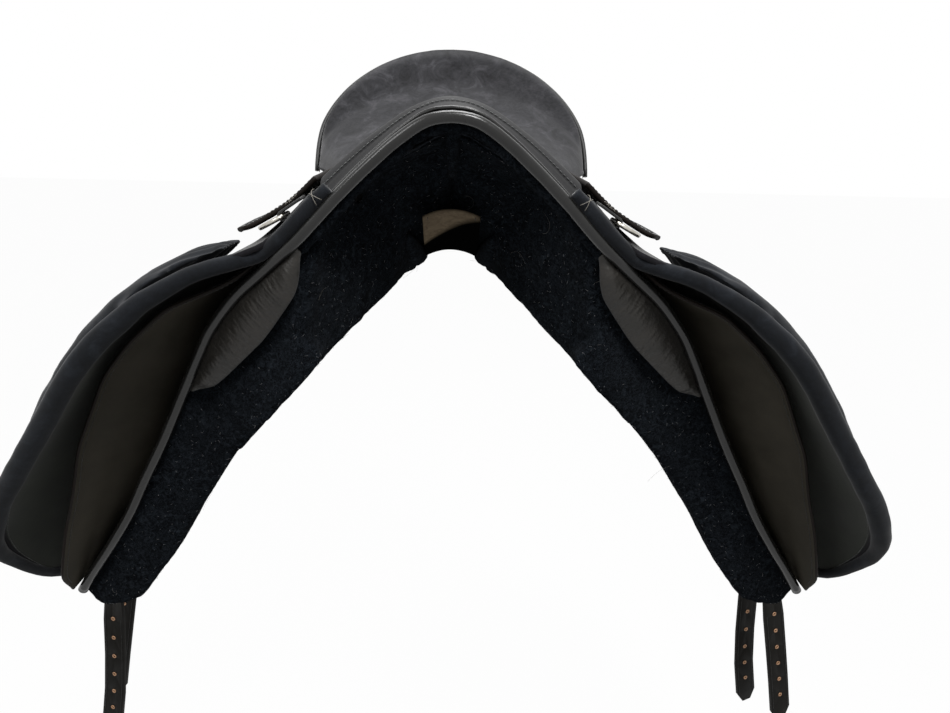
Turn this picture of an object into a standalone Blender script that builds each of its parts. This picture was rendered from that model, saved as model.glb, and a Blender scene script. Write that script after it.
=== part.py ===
"""A dressage saddle: tree, seat, flaps with outside thigh blocks, felt panels, bars, rings and girth billets.

Metres, +Z up. The saddle's front faces -Y and its left and right sides are -X and +X.
The origin lies on the centre plane below the deepest part of the seat, at the height where the panels bear.
Shapes are worked out in a saddle frame whose zero is the top of the pommel's front roll, and moved at the end.
On each side most leathers are layers over one slope: s runs down the slope, h stands out from it.
"""

import math

import bpy
from mathutils import Matrix, Vector

# Driving dimensions
BEARING_DROP = 0.200
SEAT_LOW_FROM_FRONT = 0.220
SIDE_SLOPE = math.radians(45.0)
GAP = 0.0005
LAYER_GAP = 0.0013
WEB_GAP = 0.0017
FACING_GAP = 0.0020
BLOCK_GAP = 0.0021

# Seat
SEAT_START = 0.048
ARCH_TOP = 0.0100
ARCH_RADIUS = 0.053
SEAT_WIDEST_FROM_FRONT = 0.330
SEAT_END_BOW = 0.100
RIM_RISE = 0.121
RIM_SIDE_DROP = 0.020
RIM_SIDE_SHARE = 0.30
SEAT_LEATHER = 0.005
FOAM_THICKNESS = 0.012
FOAM_SHARE = 0.942
WEB_THICKNESS = 0.001
TREE_THICKNESS = 0.015
TREE_SHARE_OF_WIDTH = 0.80
TREE_OPENING_SHARE = 0.42

# Pommel
ROLL_RADIUS = 0.0046
ROLL_END_S = 0.570
WELT_RADIUS = 0.0022
POMMEL_LEATHER = 0.004
PLATE_THICKNESS = 0.004
PLATE_FRONT = 0.030
PLATE_DROP = 0.0056

# Leathers of each side
SWEAT_LEATHER = 0.003
FLAP_LEATHER = 0.0045
SKIRT_LEATHER = 0.0045
HINGE_S = 0.115
HINGE_CLEARANCE = 0.0016

# Stirrup bar
BAR_FRONT = 0.056
BAR_LENGTH = 0.104
BAR_WIDTH = 0.014
BAR_THICKNESS = 0.008
BAR_S = 0.136
BAR_H = 0.0265
BAR_SLOT = 0.0075
BAR_BASE_THICKNESS = 0.0085
BAR_NECK = 0.011
EAR_SHARE = 0.3
EAR_MARGIN = 0.0062
CATCH_LENGTH = 0.020
POINT_CLEARANCE = 0.0006
POINT_SPACE = 0.0030
POINT_FRONT = 0.0825
POINT_END_S = 0.146
POINT_MIDDLE_H = 0.010
POINT_LOW_H = 0.0018
POINT_LEAST = 0.004
POINT_FIT = 0.0002
CATCH_WIDTH = 0.0115
PIN_RADIUS = 0.0020
PIN_CLEARANCE = 0.0003
NOTCH_MARGIN = 0.006
NOTCH_DEPTH = 0.026

# Rings
RING_HALF_WIDTH = 0.0140
RING_WIRE_RADIUS = 0.0020
RING_DROP = 0.022
RING_FROM_FRONT = 0.032
CHAPE_LEATHER = 0.0022
CHAPE_WIDTH = 0.018

# Billets
BILLET_WIDTH = 0.0265
BILLET_LEATHER = 0.0040
BILLET_TOP_S = 0.262
FRONT_BILLET_FROM_FRONT = 0.152
REAR_BILLET_FROM_FRONT = 0.202
HOLE_RADIUS = 0.0024
HOLE_SPACING = 0.0215
HOLE_COUNT = 6
HOLE_FROM_END = 0.032
GIRTH_WEB_THICKNESS = 0.0016
GIRTH_WEB_OVERLAP = 0.030
GIRTH_WEB_LENGTH = 0.092
BILLET_SPACE = GIRTH_WEB_THICKNESS + BILLET_LEATHER + 6 * GAP

# Gullet
CHANNEL_HALF_WIDTH = 0.024
CHANNEL_LEATHER = 0.003
CHANNEL_START = 0.060
CHANNEL_ARCH = 0.006
PANEL_END = 0.452
FACING_LEATHER = 0.0022
CANTLE_LEATHER = 0.0030
CANTLE_WALL_DROP = SEAT_LEATHER + 0.0030
CANTLE_FOOT_HALF_WIDTH = 0.152
CANTLE_FOOT_BOW = 0.106
CANTLE_FOOT_Z = -0.1055
CANTLE_FOOT_SAG = 0.0045

# Slope profile of the roll along the panel's front edge: s, h
ROLL_SLOPE = ((0.0035, -0.0035), (0.0119, 0.0035), (0.0223, 0.0086), (0.0390, 0.0120), (0.0578, 0.0140),
              (0.098, 0.0155), (0.147, 0.0145), (0.183, 0.0165), (0.220, 0.0190),
              (0.257, 0.0160), (0.291, 0.0070), (0.328, -0.0050), (0.375, -0.0210), (0.420, -0.0345),
              (0.458, -0.0465), (0.497, -0.0550), (0.537, -0.0620), (0.573, -0.0700), (0.640, -0.0900))
# How far the panel's front edge lies behind the pommel, by its distance from the centre plane
PANEL_FRONT = ((0.0, 0.0), (0.114, 0.0), (0.142, 0.010), (0.170, 0.020), (0.195, 0.030), (0.231, 0.040),
               (0.300, 0.040), (0.340, 0.046), (0.380, 0.056))
# Horse side of the panel: s, h
BEARING_SLOPE = ((0.100, -0.0930), (0.137, -0.0780), (0.184, -0.0700), (0.240, -0.0700), (0.284, -0.0715),
                 (0.321, -0.0745), (0.367, -0.0800), (0.411, -0.0910), (0.461, -0.1010), (0.520, -0.1150),
                 (0.580, -0.1150))
LOBE_TOP_S = 0.205
LOBE_END_S = 0.574
LOBE_REAR = ((0.200, 0.272), (0.300, 0.262), (0.400, 0.222), (0.480, 0.180), (0.540, 0.150), (0.574, 0.118))
# Front edges of the sweat flap and flap: s, distance behind the pommel's front, stand-off of the flare
SWEAT_TOP_S = 0.166
SWEAT_END_S = 0.560
SWEAT_FRONT = ((0.166, 0.020), (0.206, 0.010), (0.262, 0.000), (0.395, 0.000), (0.478, 0.004), (0.530, 0.010),
               (0.560, 0.034))
SWEAT_FLARE = ((0.166, 0.000), (0.206, 0.002), (0.267, 0.028), (0.317, 0.045), (0.351, 0.051), (0.401, 0.049),
               (0.435, 0.042), (0.480, 0.032), (0.520, 0.018), (0.560, 0.002))
SWEAT_REAR = ((0.166, 0.300), (0.400, 0.300), (0.500, 0.288), (0.540, 0.262), (0.560, 0.215))
FLAP_TOP_S = 0.1165
FLAP_REAR_TOP_S = 0.188
EAR_DROP = 0.0060
FLAP_BOW = 0.018
EAR_END_S = 0.196
EAR_END_Y = 0.075
FLAP_END_S = 0.579
FLAP_FRONT = ((0.1165, -0.001), (0.150, -0.003), (0.191, -0.006), (0.220, -0.012), (0.247, -0.020),
              (0.293, -0.030), (0.344, -0.035), (0.420, -0.035), (0.460, -0.032), (0.500, -0.024),
              (0.530, -0.008), (0.550, 0.014), (0.567, 0.044), (0.579, 0.090))
FLAP_FLARE = ((0.1165, 0.000), (0.150, 0.000), (0.191, 0.0020), (0.227, 0.0150), (0.252, 0.0245),
              (0.276, 0.0330), (0.298, 0.0415), (0.329, 0.0500), (0.360, 0.0550), (0.392, 0.0585),
              (0.420, 0.0615), (0.467, 0.0670), (0.511, 0.0610), (0.540, 0.0480), (0.560, 0.0300),
              (0.579, 0.0060))
FLAP_REAR = ((0.1165, 0.290), (0.200, 0.300), (0.420, 0.305), (0.512, 0.300), (0.547, 0.284), (0.566, 0.255),
             (0.579, 0.195))
# Thigh block crest: s, h
BLOCK_TOP_S = 0.192
BLOCK_END_S = 0.470
BLOCK_FRONT = -0.014
BLOCK_REAR = 0.078
BLOCK_CREST = ((0.192, 0.042), (0.205, 0.0535), (0.228, 0.0655), (0.266, 0.0775), (0.300, 0.0820),
               (0.333, 0.0825), (0.363, 0.0790), (0.392, 0.0735), (0.420, 0.0670), (0.447, 0.0590),
               (0.470, 0.046))
# Skirt: s, h of its inner face, and its front edge
SKIRT_INNER = ((0.1165, 0.0367), (0.1290, 0.0368), (0.1450, 0.0378), (0.1630, 0.0415), (0.1960, 0.0505))
SKIRT_END_S = 0.197
SKIRT_FRONT = ((0.1165, 0.052), (0.185, 0.052), (0.197, 0.066))
SKIRT_REAR = ((0.1165, 0.200), (0.160, 0.200), (0.185, 0.184), (0.197, 0.164))
# Billet path below the sweat flap: s, h
BILLET_HANG = ((0.540, -0.0510), (0.600, -0.0790), (0.660, -0.1140), (0.720, -0.1510), (0.800, -0.2020),
               (0.826, -0.2200))
BILLET_END_S = 0.815
BILLET_DROP = {("front", -1): 0.022, ("rear", -1): 0.002, ("front", 1): 0.0, ("rear", 1): 0.030}
BILLET_DROP_START = 0.590
BILLET_TWIST = math.radians(74.0)
# Seat: distance behind the front, half width, height of the centre, height of the edge, roundness, end bow
SEAT_STATIONS = (
    (0.000, 0.080, 0.0000, -0.0540, 0.45, 0.0),
    (0.048, 0.096, 0.0100, -0.0510, 0.50, 0.0),
    (0.080, 0.101, 0.0040, -0.0560, 0.52, 0.0),
    (0.120, 0.103, -0.0140, -0.0585, 0.70, 0.02),
    (0.170, 0.105, -0.0330, -0.0590, 1.20, 0.10),
    (0.220, 0.117, -0.0430, -0.0600, 1.80, 0.30),
    (0.270, 0.138, -0.0410, -0.0580, 2.00, 0.60),
    (0.310, 0.153, -0.0260, -0.0530, 2.00, 0.86),
    (0.330, 0.1565, -0.0050, -0.0500, 2.00, 1.00),
)
# Height of the gullet's ceiling on the centre plane, by distance from the front
CEILING = ((0.000, -0.020), (0.030, -0.050), (0.060, -0.078), (0.100, -0.107), (0.150, -0.126), (0.200, -0.133),
           (0.300, -0.131), (0.400, -0.124), (0.452, -0.118))
CEILING_HALF_WIDTH = ((0.000, 0.100), (0.030, 0.080), (0.060, 0.050), (0.100, 0.028), (0.130, 0.0255),
                      (0.452, 0.0255))
GULLET_WALL = ((0.0, 0.030), (0.060, 0.024), (0.150, 0.016), (0.300, 0.012), (0.452, 0.012))
# Rear of the panel: distance from the front, height of the bearing face at its middle, half width of the pad
REAR_BEARING = ((0.200, -0.180), (0.300, -0.180), (0.400, -0.176), (0.430, -0.166), (0.452, -0.146))
REAR_PAD_OUT = ((0.000, 0.150), (0.180, 0.165), (0.260, 0.165), (0.300, 0.146), (0.360, 0.146), (0.410, 0.132),
                (0.440, 0.108), (0.452, 0.085))


def along(points, value):
    """Smooth curve through the points, read at a value."""
    xs = [p[0] for p in points]
    ys = [p[1] for p in points]
    if value <= xs[0]:
        return ys[0]
    if value >= xs[-1]:
        return ys[-1]
    i = max(k for k in range(len(xs) - 1) if xs[k] <= value)
    slope = [(ys[k + 1] - ys[k]) / (xs[k + 1] - xs[k]) for k in range(len(xs) - 1)]

    def tangent(k):
        if k == 0 or k == len(xs) - 1:
            return slope[0] if k == 0 else slope[-1]
        if slope[k - 1] * slope[k] <= 0.0:
            return 0.0
        return 2.0 * slope[k - 1] * slope[k] / (slope[k - 1] + slope[k])

    step = xs[i + 1] - xs[i]
    t = (value - xs[i]) / step
    a = ys[i] * (2 * t**3 - 3 * t**2 + 1) + ys[i + 1] * (3 * t**2 - 2 * t**3)
    return a + step * (tangent(i) * (t**3 - 2 * t**2 + t) + tangent(i + 1) * (t**3 - t**2))


def smooth(t):
    t = min(max(t, 0.0), 1.0)
    return t * t * (3.0 - 2.0 * t)


def mix(a, b, t):
    return a + (b - a) * t


def steps(count, start=0.0, end=1.0):
    return [start + (end - start) * k / (count - 1) for k in range(count)]


def eased(count, start=0.0, end=1.0):
    """Steps that crowd towards both ends, for rounded corners."""
    return [start + (end - start) * (1.0 - math.cos(math.pi * k / (count - 1))) / 2.0 for k in range(count)]


def placed(x, y, z):
    """Saddle frame to the part's frame."""
    return Vector((x, y - SEAT_LOW_FROM_FRONT, z + BEARING_DROP))


def on_slope(side, s, h, y):
    x = s * math.cos(SIDE_SLOPE) + h * math.sin(SIDE_SLOPE)
    z = h * math.cos(SIDE_SLOPE) - s * math.sin(SIDE_SLOPE)
    return placed(side * x, y, z)


def slope_x(s, h):
    return s * math.cos(SIDE_SLOPE) + h * math.sin(SIDE_SLOPE)


MATERIALS = {
    "black_leather": ((0.018, 0.018, 0.018), 0.45, 0.0),
    "nubuck": ((0.045, 0.045, 0.048), 0.9, 0.0),
    "brown_black_leather": ((0.022, 0.020, 0.017), 0.55, 0.0),
    "felt": ((0.012, 0.013, 0.018), 1.0, 0.0),
    "steel": ((0.55, 0.55, 0.55), 0.35, 1.0),
    "nickel": ((0.70, 0.69, 0.66), 0.25, 1.0),
    "wood": ((0.45, 0.30, 0.16), 0.7, 0.0),
    "foam": ((0.60, 0.58, 0.50), 0.9, 0.0),
    "webbing": ((0.50, 0.48, 0.42), 0.9, 0.0),
}


def material(name, finish):
    colour, roughness, metallic = MATERIALS[finish]
    made = bpy.data.materials.new(name + "_material")
    made.use_nodes = True
    shader = made.node_tree.nodes["Principled BSDF"]
    shader.inputs["Base Color"].default_value = (*colour, 1.0)
    shader.inputs["Roughness"].default_value = roughness
    shader.inputs["Metallic"].default_value = metallic
    return made


def add_object(name, data, finish, pivot=None):
    """Puts a mesh or curve in the scene; a moving piece gets its origin on its joint's axis."""
    data.materials.clear()
    data.materials.append(material(name, finish))
    made = bpy.data.objects.new(name, data)
    bpy.context.scene.collection.objects.link(made)
    if pivot is not None:
        data.transform(Matrix.Translation(-pivot))
        made.location = pivot
    return made


def mesh_from(name, points, faces):
    mesh = bpy.data.meshes.new(name)
    mesh.from_pydata([tuple(p) for p in points], [], faces)
    mesh.validate()
    mesh.update()
    mesh.shade_smooth()
    mesh.set_sharp_from_angle(angle=math.radians(40.0))
    return mesh


def facing_out(points, faces):
    """The faces, turned over if they enclose a negative volume."""
    volume = 0.0
    for face in faces:
        a = points[face[0]]
        for b, c in zip(face[1:], face[2:]):
            volume += a.dot(points[b].cross(points[c]))
    return faces if volume > 0.0 else [tuple(reversed(f)) for f in faces]


def layer(name, lower, upper, finish, pivot=None):
    """A closed sheet between two grids of points of the same size."""
    rows = len(lower)
    columns = len(lower[0])
    points = [p for row in lower for p in row] + [p for row in upper for p in row]
    top = rows * columns

    def at(i, j, over):
        return i * columns + j + (top if over else 0)

    faces = []
    for i in range(rows - 1):
        for j in range(columns - 1):
            faces.append((at(i, j, 0), at(i, j + 1, 0), at(i + 1, j + 1, 0), at(i + 1, j, 0)))
            faces.append((at(i, j, 1), at(i + 1, j, 1), at(i + 1, j + 1, 1), at(i, j + 1, 1)))
    for i in range(rows - 1):
        faces.append((at(i, 0, 0), at(i + 1, 0, 0), at(i + 1, 0, 1), at(i, 0, 1)))
        last = columns - 1
        faces.append((at(i, last, 0), at(i, last, 1), at(i + 1, last, 1), at(i + 1, last, 0)))
    for j in range(columns - 1):
        faces.append((at(0, j, 0), at(0, j, 1), at(0, j + 1, 1), at(0, j + 1, 0)))
        faces.append((at(rows - 1, j, 0), at(rows - 1, j + 1, 0), at(rows - 1, j + 1, 1), at(rows - 1, j, 1)))
    return add_object(name, mesh_from(name, points, facing_out(points, faces)), finish, pivot)


def tube(name, path, radius, finish, resolution=3, closed=False, pivot=None):
    """A round cord of leather or wire along a path."""
    curve = bpy.data.curves.new(name, "CURVE")
    curve.dimensions = "3D"
    curve.bevel_depth = radius
    curve.bevel_resolution = resolution
    curve.use_fill_caps = not closed
    spline = curve.splines.new("POLY")
    spline.points.add(len(path) - 1)
    for point, place in zip(spline.points, path):
        point.co = (*place, 1.0)
    spline.use_cyclic_u = closed
    return add_object(name, curve, finish, pivot)


def boolean(target, tool, operation):
    """Cuts or joins, then keeps the tool as a hidden guide of the shape."""
    tool.hide_render = True
    tool.display_type = "WIRE"
    change = target.modifiers.new(operation.lower(), "BOOLEAN")
    change.operation = operation
    change.solver = "EXACT"
    change.object = tool


def block(name, side, s_range, h_range, y_range, finish, pivot=None):
    """A straight-sided block in the slope's own directions."""
    lower = [[on_slope(side, s, h_range[0], y) for y in y_range] for s in s_range]
    upper = [[on_slope(side, s, h_range[1], y) for y in y_range] for s in s_range]
    return layer(name, lower, upper, finish, pivot)


# Shapes that several pieces share

def roll_height(s):
    return along(ROLL_SLOPE, s)


def panel_front(x):
    return along(PANEL_FRONT, abs(x))


def sweat_height(s, y):
    """Inner face of the sweat flap: it follows the panel and flares out in front of it."""
    base = roll_height(s) + ROLL_RADIUS + GAP
    return base + along(SWEAT_FLARE, s) * smooth((0.088 - y) / 0.088)


def flap_height(s, y):
    """Inner face of the flap, over the billets; its front top corner lies closer to the sweat flap."""
    base = roll_height(s) + ROLL_RADIUS + GAP + SWEAT_LEATHER + BILLET_SPACE
    base -= EAR_DROP * smooth((EAR_END_S - s) / 0.030) * smooth((EAR_END_Y - y) / 0.020)
    return base + along(FLAP_FLARE, s) * smooth((0.118 - y) / 0.128)


def seat_station(y):
    """The seat's section at a place from front to back; the table stretches with the seat's length."""
    place = y * SEAT_STATIONS[-1][0] / SEAT_WIDEST_FROM_FRONT
    return [along([(st[0], st[k]) for st in SEAT_STATIONS], place) for k in range(1, 6)]


def seat_point(u, t, drop):
    """A point of the seat: u from side to side, t from pommel to cantle, drop below the leather's face."""
    y0 = mix(SEAT_START, SEAT_WIDEST_FROM_FRONT, t)
    half_width, centre, edge, roundness, bow = seat_station(y0)
    a = abs(u)
    arch = math.sqrt(max(0.0, 1.0 - min(a, 1.0) ** 2))
    soft = (math.hypot(a, roundness) - roundness) / (math.hypot(1.0, roundness) - roundness)
    y = y0 + SEAT_END_BOW * bow * arch
    rim = along(((0.0, 0.0), (0.86, 0.55), (1.0, 1.0)), bow)
    dish = edge + RIM_RISE * arch - RIM_SIDE_DROP * max(0.0, 1.0 - arch / RIM_SIDE_SHARE) ** 2
    z = mix(mix(centre, edge, soft), dish, rim)
    return placed(u * half_width, y, z - drop)


def seat_grid(us, ts, drop):
    return [[seat_point(u, t, drop) for u in us] for t in ts]


def seat_underside(x, y):
    """Height of the seat's face over a place in plan, found from its own stations."""
    best = None
    for t in steps(41):
        y0 = mix(SEAT_START, SEAT_WIDEST_FROM_FRONT, t)
        half_width = seat_station(y0)[0]
        u = min(1.0, abs(x) / half_width)
        point = seat_point(u, t, 0.0)
        off = abs(point.y + SEAT_LOW_FROM_FRONT - y)
        if best is None or off < best[0]:
            best = (off, point.z - BEARING_DROP)
    return best[1]


def arch_height(x, y):
    """The pommel's outside: a round arch that runs out into the slopes."""
    behind = ARCH_TOP - (math.hypot(x, ARCH_RADIUS) - ARCH_RADIUS)
    return mix(along(ROLL_LINE, abs(x)), behind, smooth(y / 0.05))


ROLL_LINE = [((s + h) * math.sin(SIDE_SLOPE), (h - s) * math.sin(SIDE_SLOPE)) for s, h in ROLL_SLOPE]
ROLL_LINE[0] = (0.0, ROLL_LINE[0][1])


def tree_underside(x, y):
    """What the panels have above them: the tree behind, the arch plate in front."""
    if y < SEAT_START - 0.004:
        return arch_height(x, y) - PLATE_DROP - PLATE_THICKNESS - LAYER_GAP
    under = seat_underside(x, max(y, SEAT_START)) - TREE_DROP - TREE_THICKNESS - 4 * LAYER_GAP - 2 * GAP
    if y >= ARCH_PLATE_REACH:
        return under
    return min(under, arch_height(x, min(y, 0.05)) - PLATE_DROP - PLATE_THICKNESS - LAYER_GAP)


ARCH_PLATE_REACH = 0.07
TREE_DROP = SEAT_LEATHER + FOAM_THICKNESS + 2 * WEB_THICKNESS + LAYER_GAP + WEB_GAP + 4 * GAP


def build_seat():
    """Seat leather, foam, webs, wooden tree and the binding around the cantle."""
    us = eased(15, -1.0, 1.0)
    ts = eased(13)
    layer("seat_cover", seat_grid(us, ts, SEAT_LEATHER), seat_grid(us, ts, 0.0), "nubuck")
    inner = [u * FOAM_SHARE for u in us]
    inner_ts = eased(13, 0.02, FOAM_SHARE)
    top = SEAT_LEATHER + LAYER_GAP
    layer("seat_foam", seat_grid(inner, inner_ts, top + FOAM_THICKNESS), seat_grid(inner, inner_ts, top),
          "foam")
    top += FOAM_THICKNESS + WEB_GAP
    web = steps(4, -0.20, 0.20)
    along_web = steps(12, 0.06, 0.92)
    layer("seat_web_long", seat_grid(web, along_web, top + WEB_THICKNESS), seat_grid(web, along_web, top),
          "webbing")
    top += WEB_THICKNESS + 2 * GAP - 0.0001
    tree_us = eased(13, -TREE_SHARE_OF_WIDTH, TREE_SHARE_OF_WIDTH)
    across = tree_us[2:-2]
    cross_web = steps(5, 0.42, 0.60)
    layer("seat_web_cross", seat_grid(across, cross_web, top + WEB_THICKNESS),
          seat_grid(across, cross_web, top), "webbing")
    top = TREE_DROP
    tree_ts = eased(12, 0.05, 0.90)
    tree = layer("tree", seat_grid(tree_us, tree_ts, top + TREE_THICKNESS), seat_grid(tree_us, tree_ts, top),
                 "wood")
    hole_us = steps(5, -TREE_OPENING_SHARE, TREE_OPENING_SHARE)
    hole_ts = steps(7, 0.32, 0.74)
    hole = layer("tree_opening", seat_grid(hole_us, hole_ts, top + 0.06), seat_grid(hole_us, hole_ts, top - 0.01),
                 "wood")
    boolean(tree, hole, "DIFFERENCE")
    rim_us = eased(23, -1.0, 1.0)
    rim = [seat_point(u, 1.0, SEAT_LEATHER / 2) for u in rim_us]
    outward = [Vector((u * 0.6, math.sqrt(max(0.0, 1.0 - u * u)), 0.0)) for u in rim_us]
    path = [p + o.normalized() * (WELT_RADIUS + LAYER_GAP) for p, o in zip(rim, outward)]
    tube("cantle_welt", path[1:-1], WELT_RADIUS, "black_leather", resolution=2)


def build_cantle_back():
    """The leather wall under the rim at the back."""
    us = eased(17, -0.93, 0.93)
    levels = steps(5)

    def wall(u, v, inset):
        arch = math.sqrt(max(0.0, 1.0 - u * u))
        rim = seat_point(u, 1.0, 0.0)
        foot = placed(CANTLE_FOOT_HALF_WIDTH * u, SEAT_WIDEST_FROM_FRONT + CANTLE_FOOT_BOW * arch,
                      CANTLE_FOOT_Z - CANTLE_FOOT_SAG * arch)
        point = rim.lerp(foot, v)
        out = Vector((u * 1.1, arch + 0.05, 0.0)).normalized()
        sag = 0.004 * math.sin(math.pi * v)
        return point + out * (0.0015 - inset - sag) + Vector((0.0, 0.0, -CANTLE_WALL_DROP * (1.0 - v)))

    inner = [[wall(u, v, CANTLE_LEATHER) for u in us] for v in levels]
    outer = [[wall(u, v, 0.0) for u in us] for v in levels]
    layer("cantle_back", inner, outer, "black_leather")


def half_roll_path():
    """Centre line of the front roll, from the top of the pommel to the foot of the right panel."""
    path = []
    for s in [0.0035, 0.0065, 0.0119, 0.0223] + steps(7, 0.0360, 0.100) + steps(20, 0.116, ROLL_END_S):
        h = roll_height(s)
        y = panel_front(slope_x(s, h))
        path.append((s, h, y))
    return path


def build_pommel():
    """Front roll down both panels, thin welt, pommel leather and the steel arch plate."""
    half = half_roll_path()
    right = [on_slope(1, s, h, y - ROLL_RADIUS - 2 * GAP) for s, h, y in half]
    left = [on_slope(-1, s, h, y - ROLL_RADIUS - 2 * GAP) for s, h, y in half]
    for pair in (left, right):
        pair[0].x = 0.0
    tube("front_roll", list(reversed(left)) + right[1:], ROLL_RADIUS, "black_leather", resolution=2)
    xs = steps(17, -0.088, 0.088)
    welt = [placed(x, WELT_RADIUS + 4 * GAP, arch_height(x, 0.0) + ROLL_RADIUS + WELT_RADIUS) for x in xs]
    tube("pommel_welt", welt, WELT_RADIUS, "black_leather", resolution=2)
    cover_xs = eased(19, -0.103, 0.103)
    ys = [0.0065, 0.016, 0.027, 0.038, SEAT_START - GAP]

    def cover(x, y, drop):
        lift = mix(ROLL_RADIUS, 0.0, smooth(y / 0.045))
        spread = x * mix(0.90, 1.0, smooth(y / 0.045))
        return placed(spread, y, arch_height(spread, y) + lift - drop)

    layer("pommel_cover", [[cover(x, y, POMMEL_LEATHER) for x in cover_xs] for y in ys],
          [[cover(x, y, 0.0) for x in cover_xs] for y in ys], "black_leather")
    plate_xs = eased(17, -0.090, 0.090)
    plate_ys = steps(4, PLATE_FRONT, SEAT_START - 0.004)

    def plate(x, y, drop):
        return placed(x, y, arch_height(x, y) - PLATE_DROP - drop)

    layer("arch_plate", [[plate(x, y, PLATE_THICKNESS) for x in plate_xs] for y in plate_ys],
          [[plate(x, y, 0.0) for x in plate_xs] for y in plate_ys], "steel")


def build_channel():
    """Leather strip along the ceiling of the gullet."""
    xs = steps(7, -CHANNEL_HALF_WIDTH, CHANNEL_HALF_WIDTH)
    ys = steps(13, CHANNEL_START, PANEL_END - 0.004)

    def strip(x, y, drop):
        return placed(x, y, along(CEILING, y) - drop - CHANNEL_ARCH * (x / CHANNEL_HALF_WIDTH) ** 2)

    layer("channel_lining", [[strip(x, y, CHANNEL_LEATHER) for x in xs] for y in ys],
          [[strip(x, y, 0.0) for x in xs] for y in ys], "brown_black_leather")


def bearing_height(x):
    """Height of the horse side of the front pad, read from the slope profile."""
    best = None
    for s in steps(49, 0.100, 0.580):
        h = along(BEARING_SLOPE, s)
        off = abs(slope_x(s, h) - x)
        z = h * math.cos(SIDE_SLOPE) - s * math.sin(SIDE_SLOPE)
        if best is None or off < best[0]:
            best = (off, z + (slope_x(s, h) - x))
    return best[1]


def pad_low(x, y):
    """Underside of the upper pad: gullet ceiling, gullet wall and the face that bears on the back."""
    half = along(CEILING_HALF_WIDTH, y)
    roll = arch_height(x, 0.0) - 0.014
    ceiling = mix(roll, along(CEILING, y) + GAP, smooth(y / 0.10))
    wall = along(GULLET_WALL, y)
    front = bearing_height(max(x, 0.030))
    middle = along(REAR_BEARING, y)
    out = along(REAR_PAD_OUT, y)
    across = (x - 0.030) / max(0.02, out - 0.030)
    swell = 0.010 * math.sin(math.pi * min(1.0, max(0.0, across)))
    rear = middle + 0.010 + 0.030 * max(0.0, across) ** 2.2 - swell
    bearing = mix(front, rear, smooth((y - 0.13) / 0.13))
    return mix(ceiling, bearing, smooth((x - half) / wall))


def pad_high(x, y):
    """Top of the upper pad: under the arch plate, the tree and the flap's slope."""
    cap = along(((0.0, 0.05), (0.290, 0.0), (SEAT_WIDEST_FROM_FRONT, -0.104), (0.452, -0.112)), y)
    shade = min(tree_underside(x, y), cap)
    front = arch_height(x, 0.0) - ROLL_RADIUS - 0.001
    return mix(front, shade, smooth(y / 0.022))


def build_panel(side, word):
    """Felt panel: a long pad beside the gullet, joined to the lobe under the flap."""
    shares = [0.0, 0.5, 1.0, 1.5, 2.0] + steps(6, 2.25, 2.80) + [2.90, 2.96, 3.0]
    ts = [0.0, 0.022, 0.055] + steps(10, 0.10, 0.90) + [0.96, 1.0]

    def place(share, t, high):
        y = t * PANEL_END
        out = along(REAR_PAD_OUT, y)
        half = along(CEILING_HALF_WIDTH, y)
        foot = half + along(GULLET_WALL, y)
        x = along(((0.0, 0.0004), (1.0, half), (2.0, foot), (3.0, max(out, foot + 0.012))), share)
        y = mix(panel_front(x) + GAP, PANEL_END, t)
        low = pad_low(x, y)
        up = pad_high(x, y)
        slope_limit = slope_limit_height(x)
        up = min(up, slope_limit)
        up = max(up, low + 0.006)
        edge = 0.45 * (1.0 - math.sqrt(max(0.0, 1.0 - max(0.0, (share - 2.8) / 0.2) ** 2)))
        span = up - low
        low, up = low + span * edge, up - span * edge * 0.2
        return placed(side * x, y, up if high else low)

    pad = layer("panel_" + word, [[place(k, t, False) for k in shares] for t in ts],
                [[place(k, t, True) for k in shares] for t in ts], "felt")
    lobe_s = steps(8, LOBE_TOP_S, 0.532) + [0.557, LOBE_END_S]
    fractions = [0.0, 0.06] + steps(4, 0.22, 0.80) + [0.94, 1.0]

    def lobe(s, t, high):
        upper = roll_height(s) + ROLL_RADIUS - GAP
        lower = along(BEARING_SLOPE, s)
        end = smooth((LOBE_END_S - s) / 0.03)
        rear = smooth((1.0 - t) / 0.5)
        h = upper if high else mix(upper - 0.012, lower, min(1.0, 0.45 + 0.55 * end) * mix(0.45, 1.0, rear))
        if high and s < 0.24:
            h -= 0.002
        if not high and s < 0.24:
            h += 0.003
        y = mix(panel_front(slope_x(s, h)) + LAYER_GAP, along(LOBE_REAR, s), t)
        return on_slope(side, s, h, y)

    part = layer("panel_lobe_" + word, [[lobe(s, t, False) for t in fractions] for s in lobe_s],
                 [[lobe(s, t, True) for t in fractions] for s in lobe_s], "felt")
    boolean(pad, part, "UNION")


def slope_limit_height(x):
    """Height of the panel's outer face at a distance from the centre plane, along the roll's slope."""
    best = None
    for s in steps(60, 0.050, 0.400):
        h = roll_height(s) + mix(-0.0035, ROLL_RADIUS - 2 * GAP, smooth((s - 0.158) / 0.02))
        off = abs(slope_x(s, h) - x)
        if best is None or off < best[0]:
            best = (off, h * math.cos(SIDE_SLOPE) - s * math.sin(SIDE_SLOPE) + (slope_x(s, h) - x))
    return best[1]


def build_facing(side, word):
    """Leather crescent on the front of the panel, inside the roll."""
    inner = ((0.151, 0.003), (0.171, -0.009), (0.198, -0.015), (0.240, -0.020), (0.280, -0.020),
             (0.325, -0.016))
    rows = eased(10, 0.154, 0.322)

    def point(s, v, front):
        outer_h = roll_height(s) - ROLL_RADIUS - GAP
        h = mix(outer_h, min(along(inner, s), outer_h - 0.003), v)
        y = panel_front(slope_x(s, h)) - FACING_GAP - (FACING_LEATHER if front else 0.0)
        return on_slope(side, s, h, y)

    layer("panel_facing_" + word, [[point(s, v, False) for v in steps(3)] for s in rows],
          [[point(s, v, True) for v in steps(3)] for s in rows], "brown_black_leather")


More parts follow.
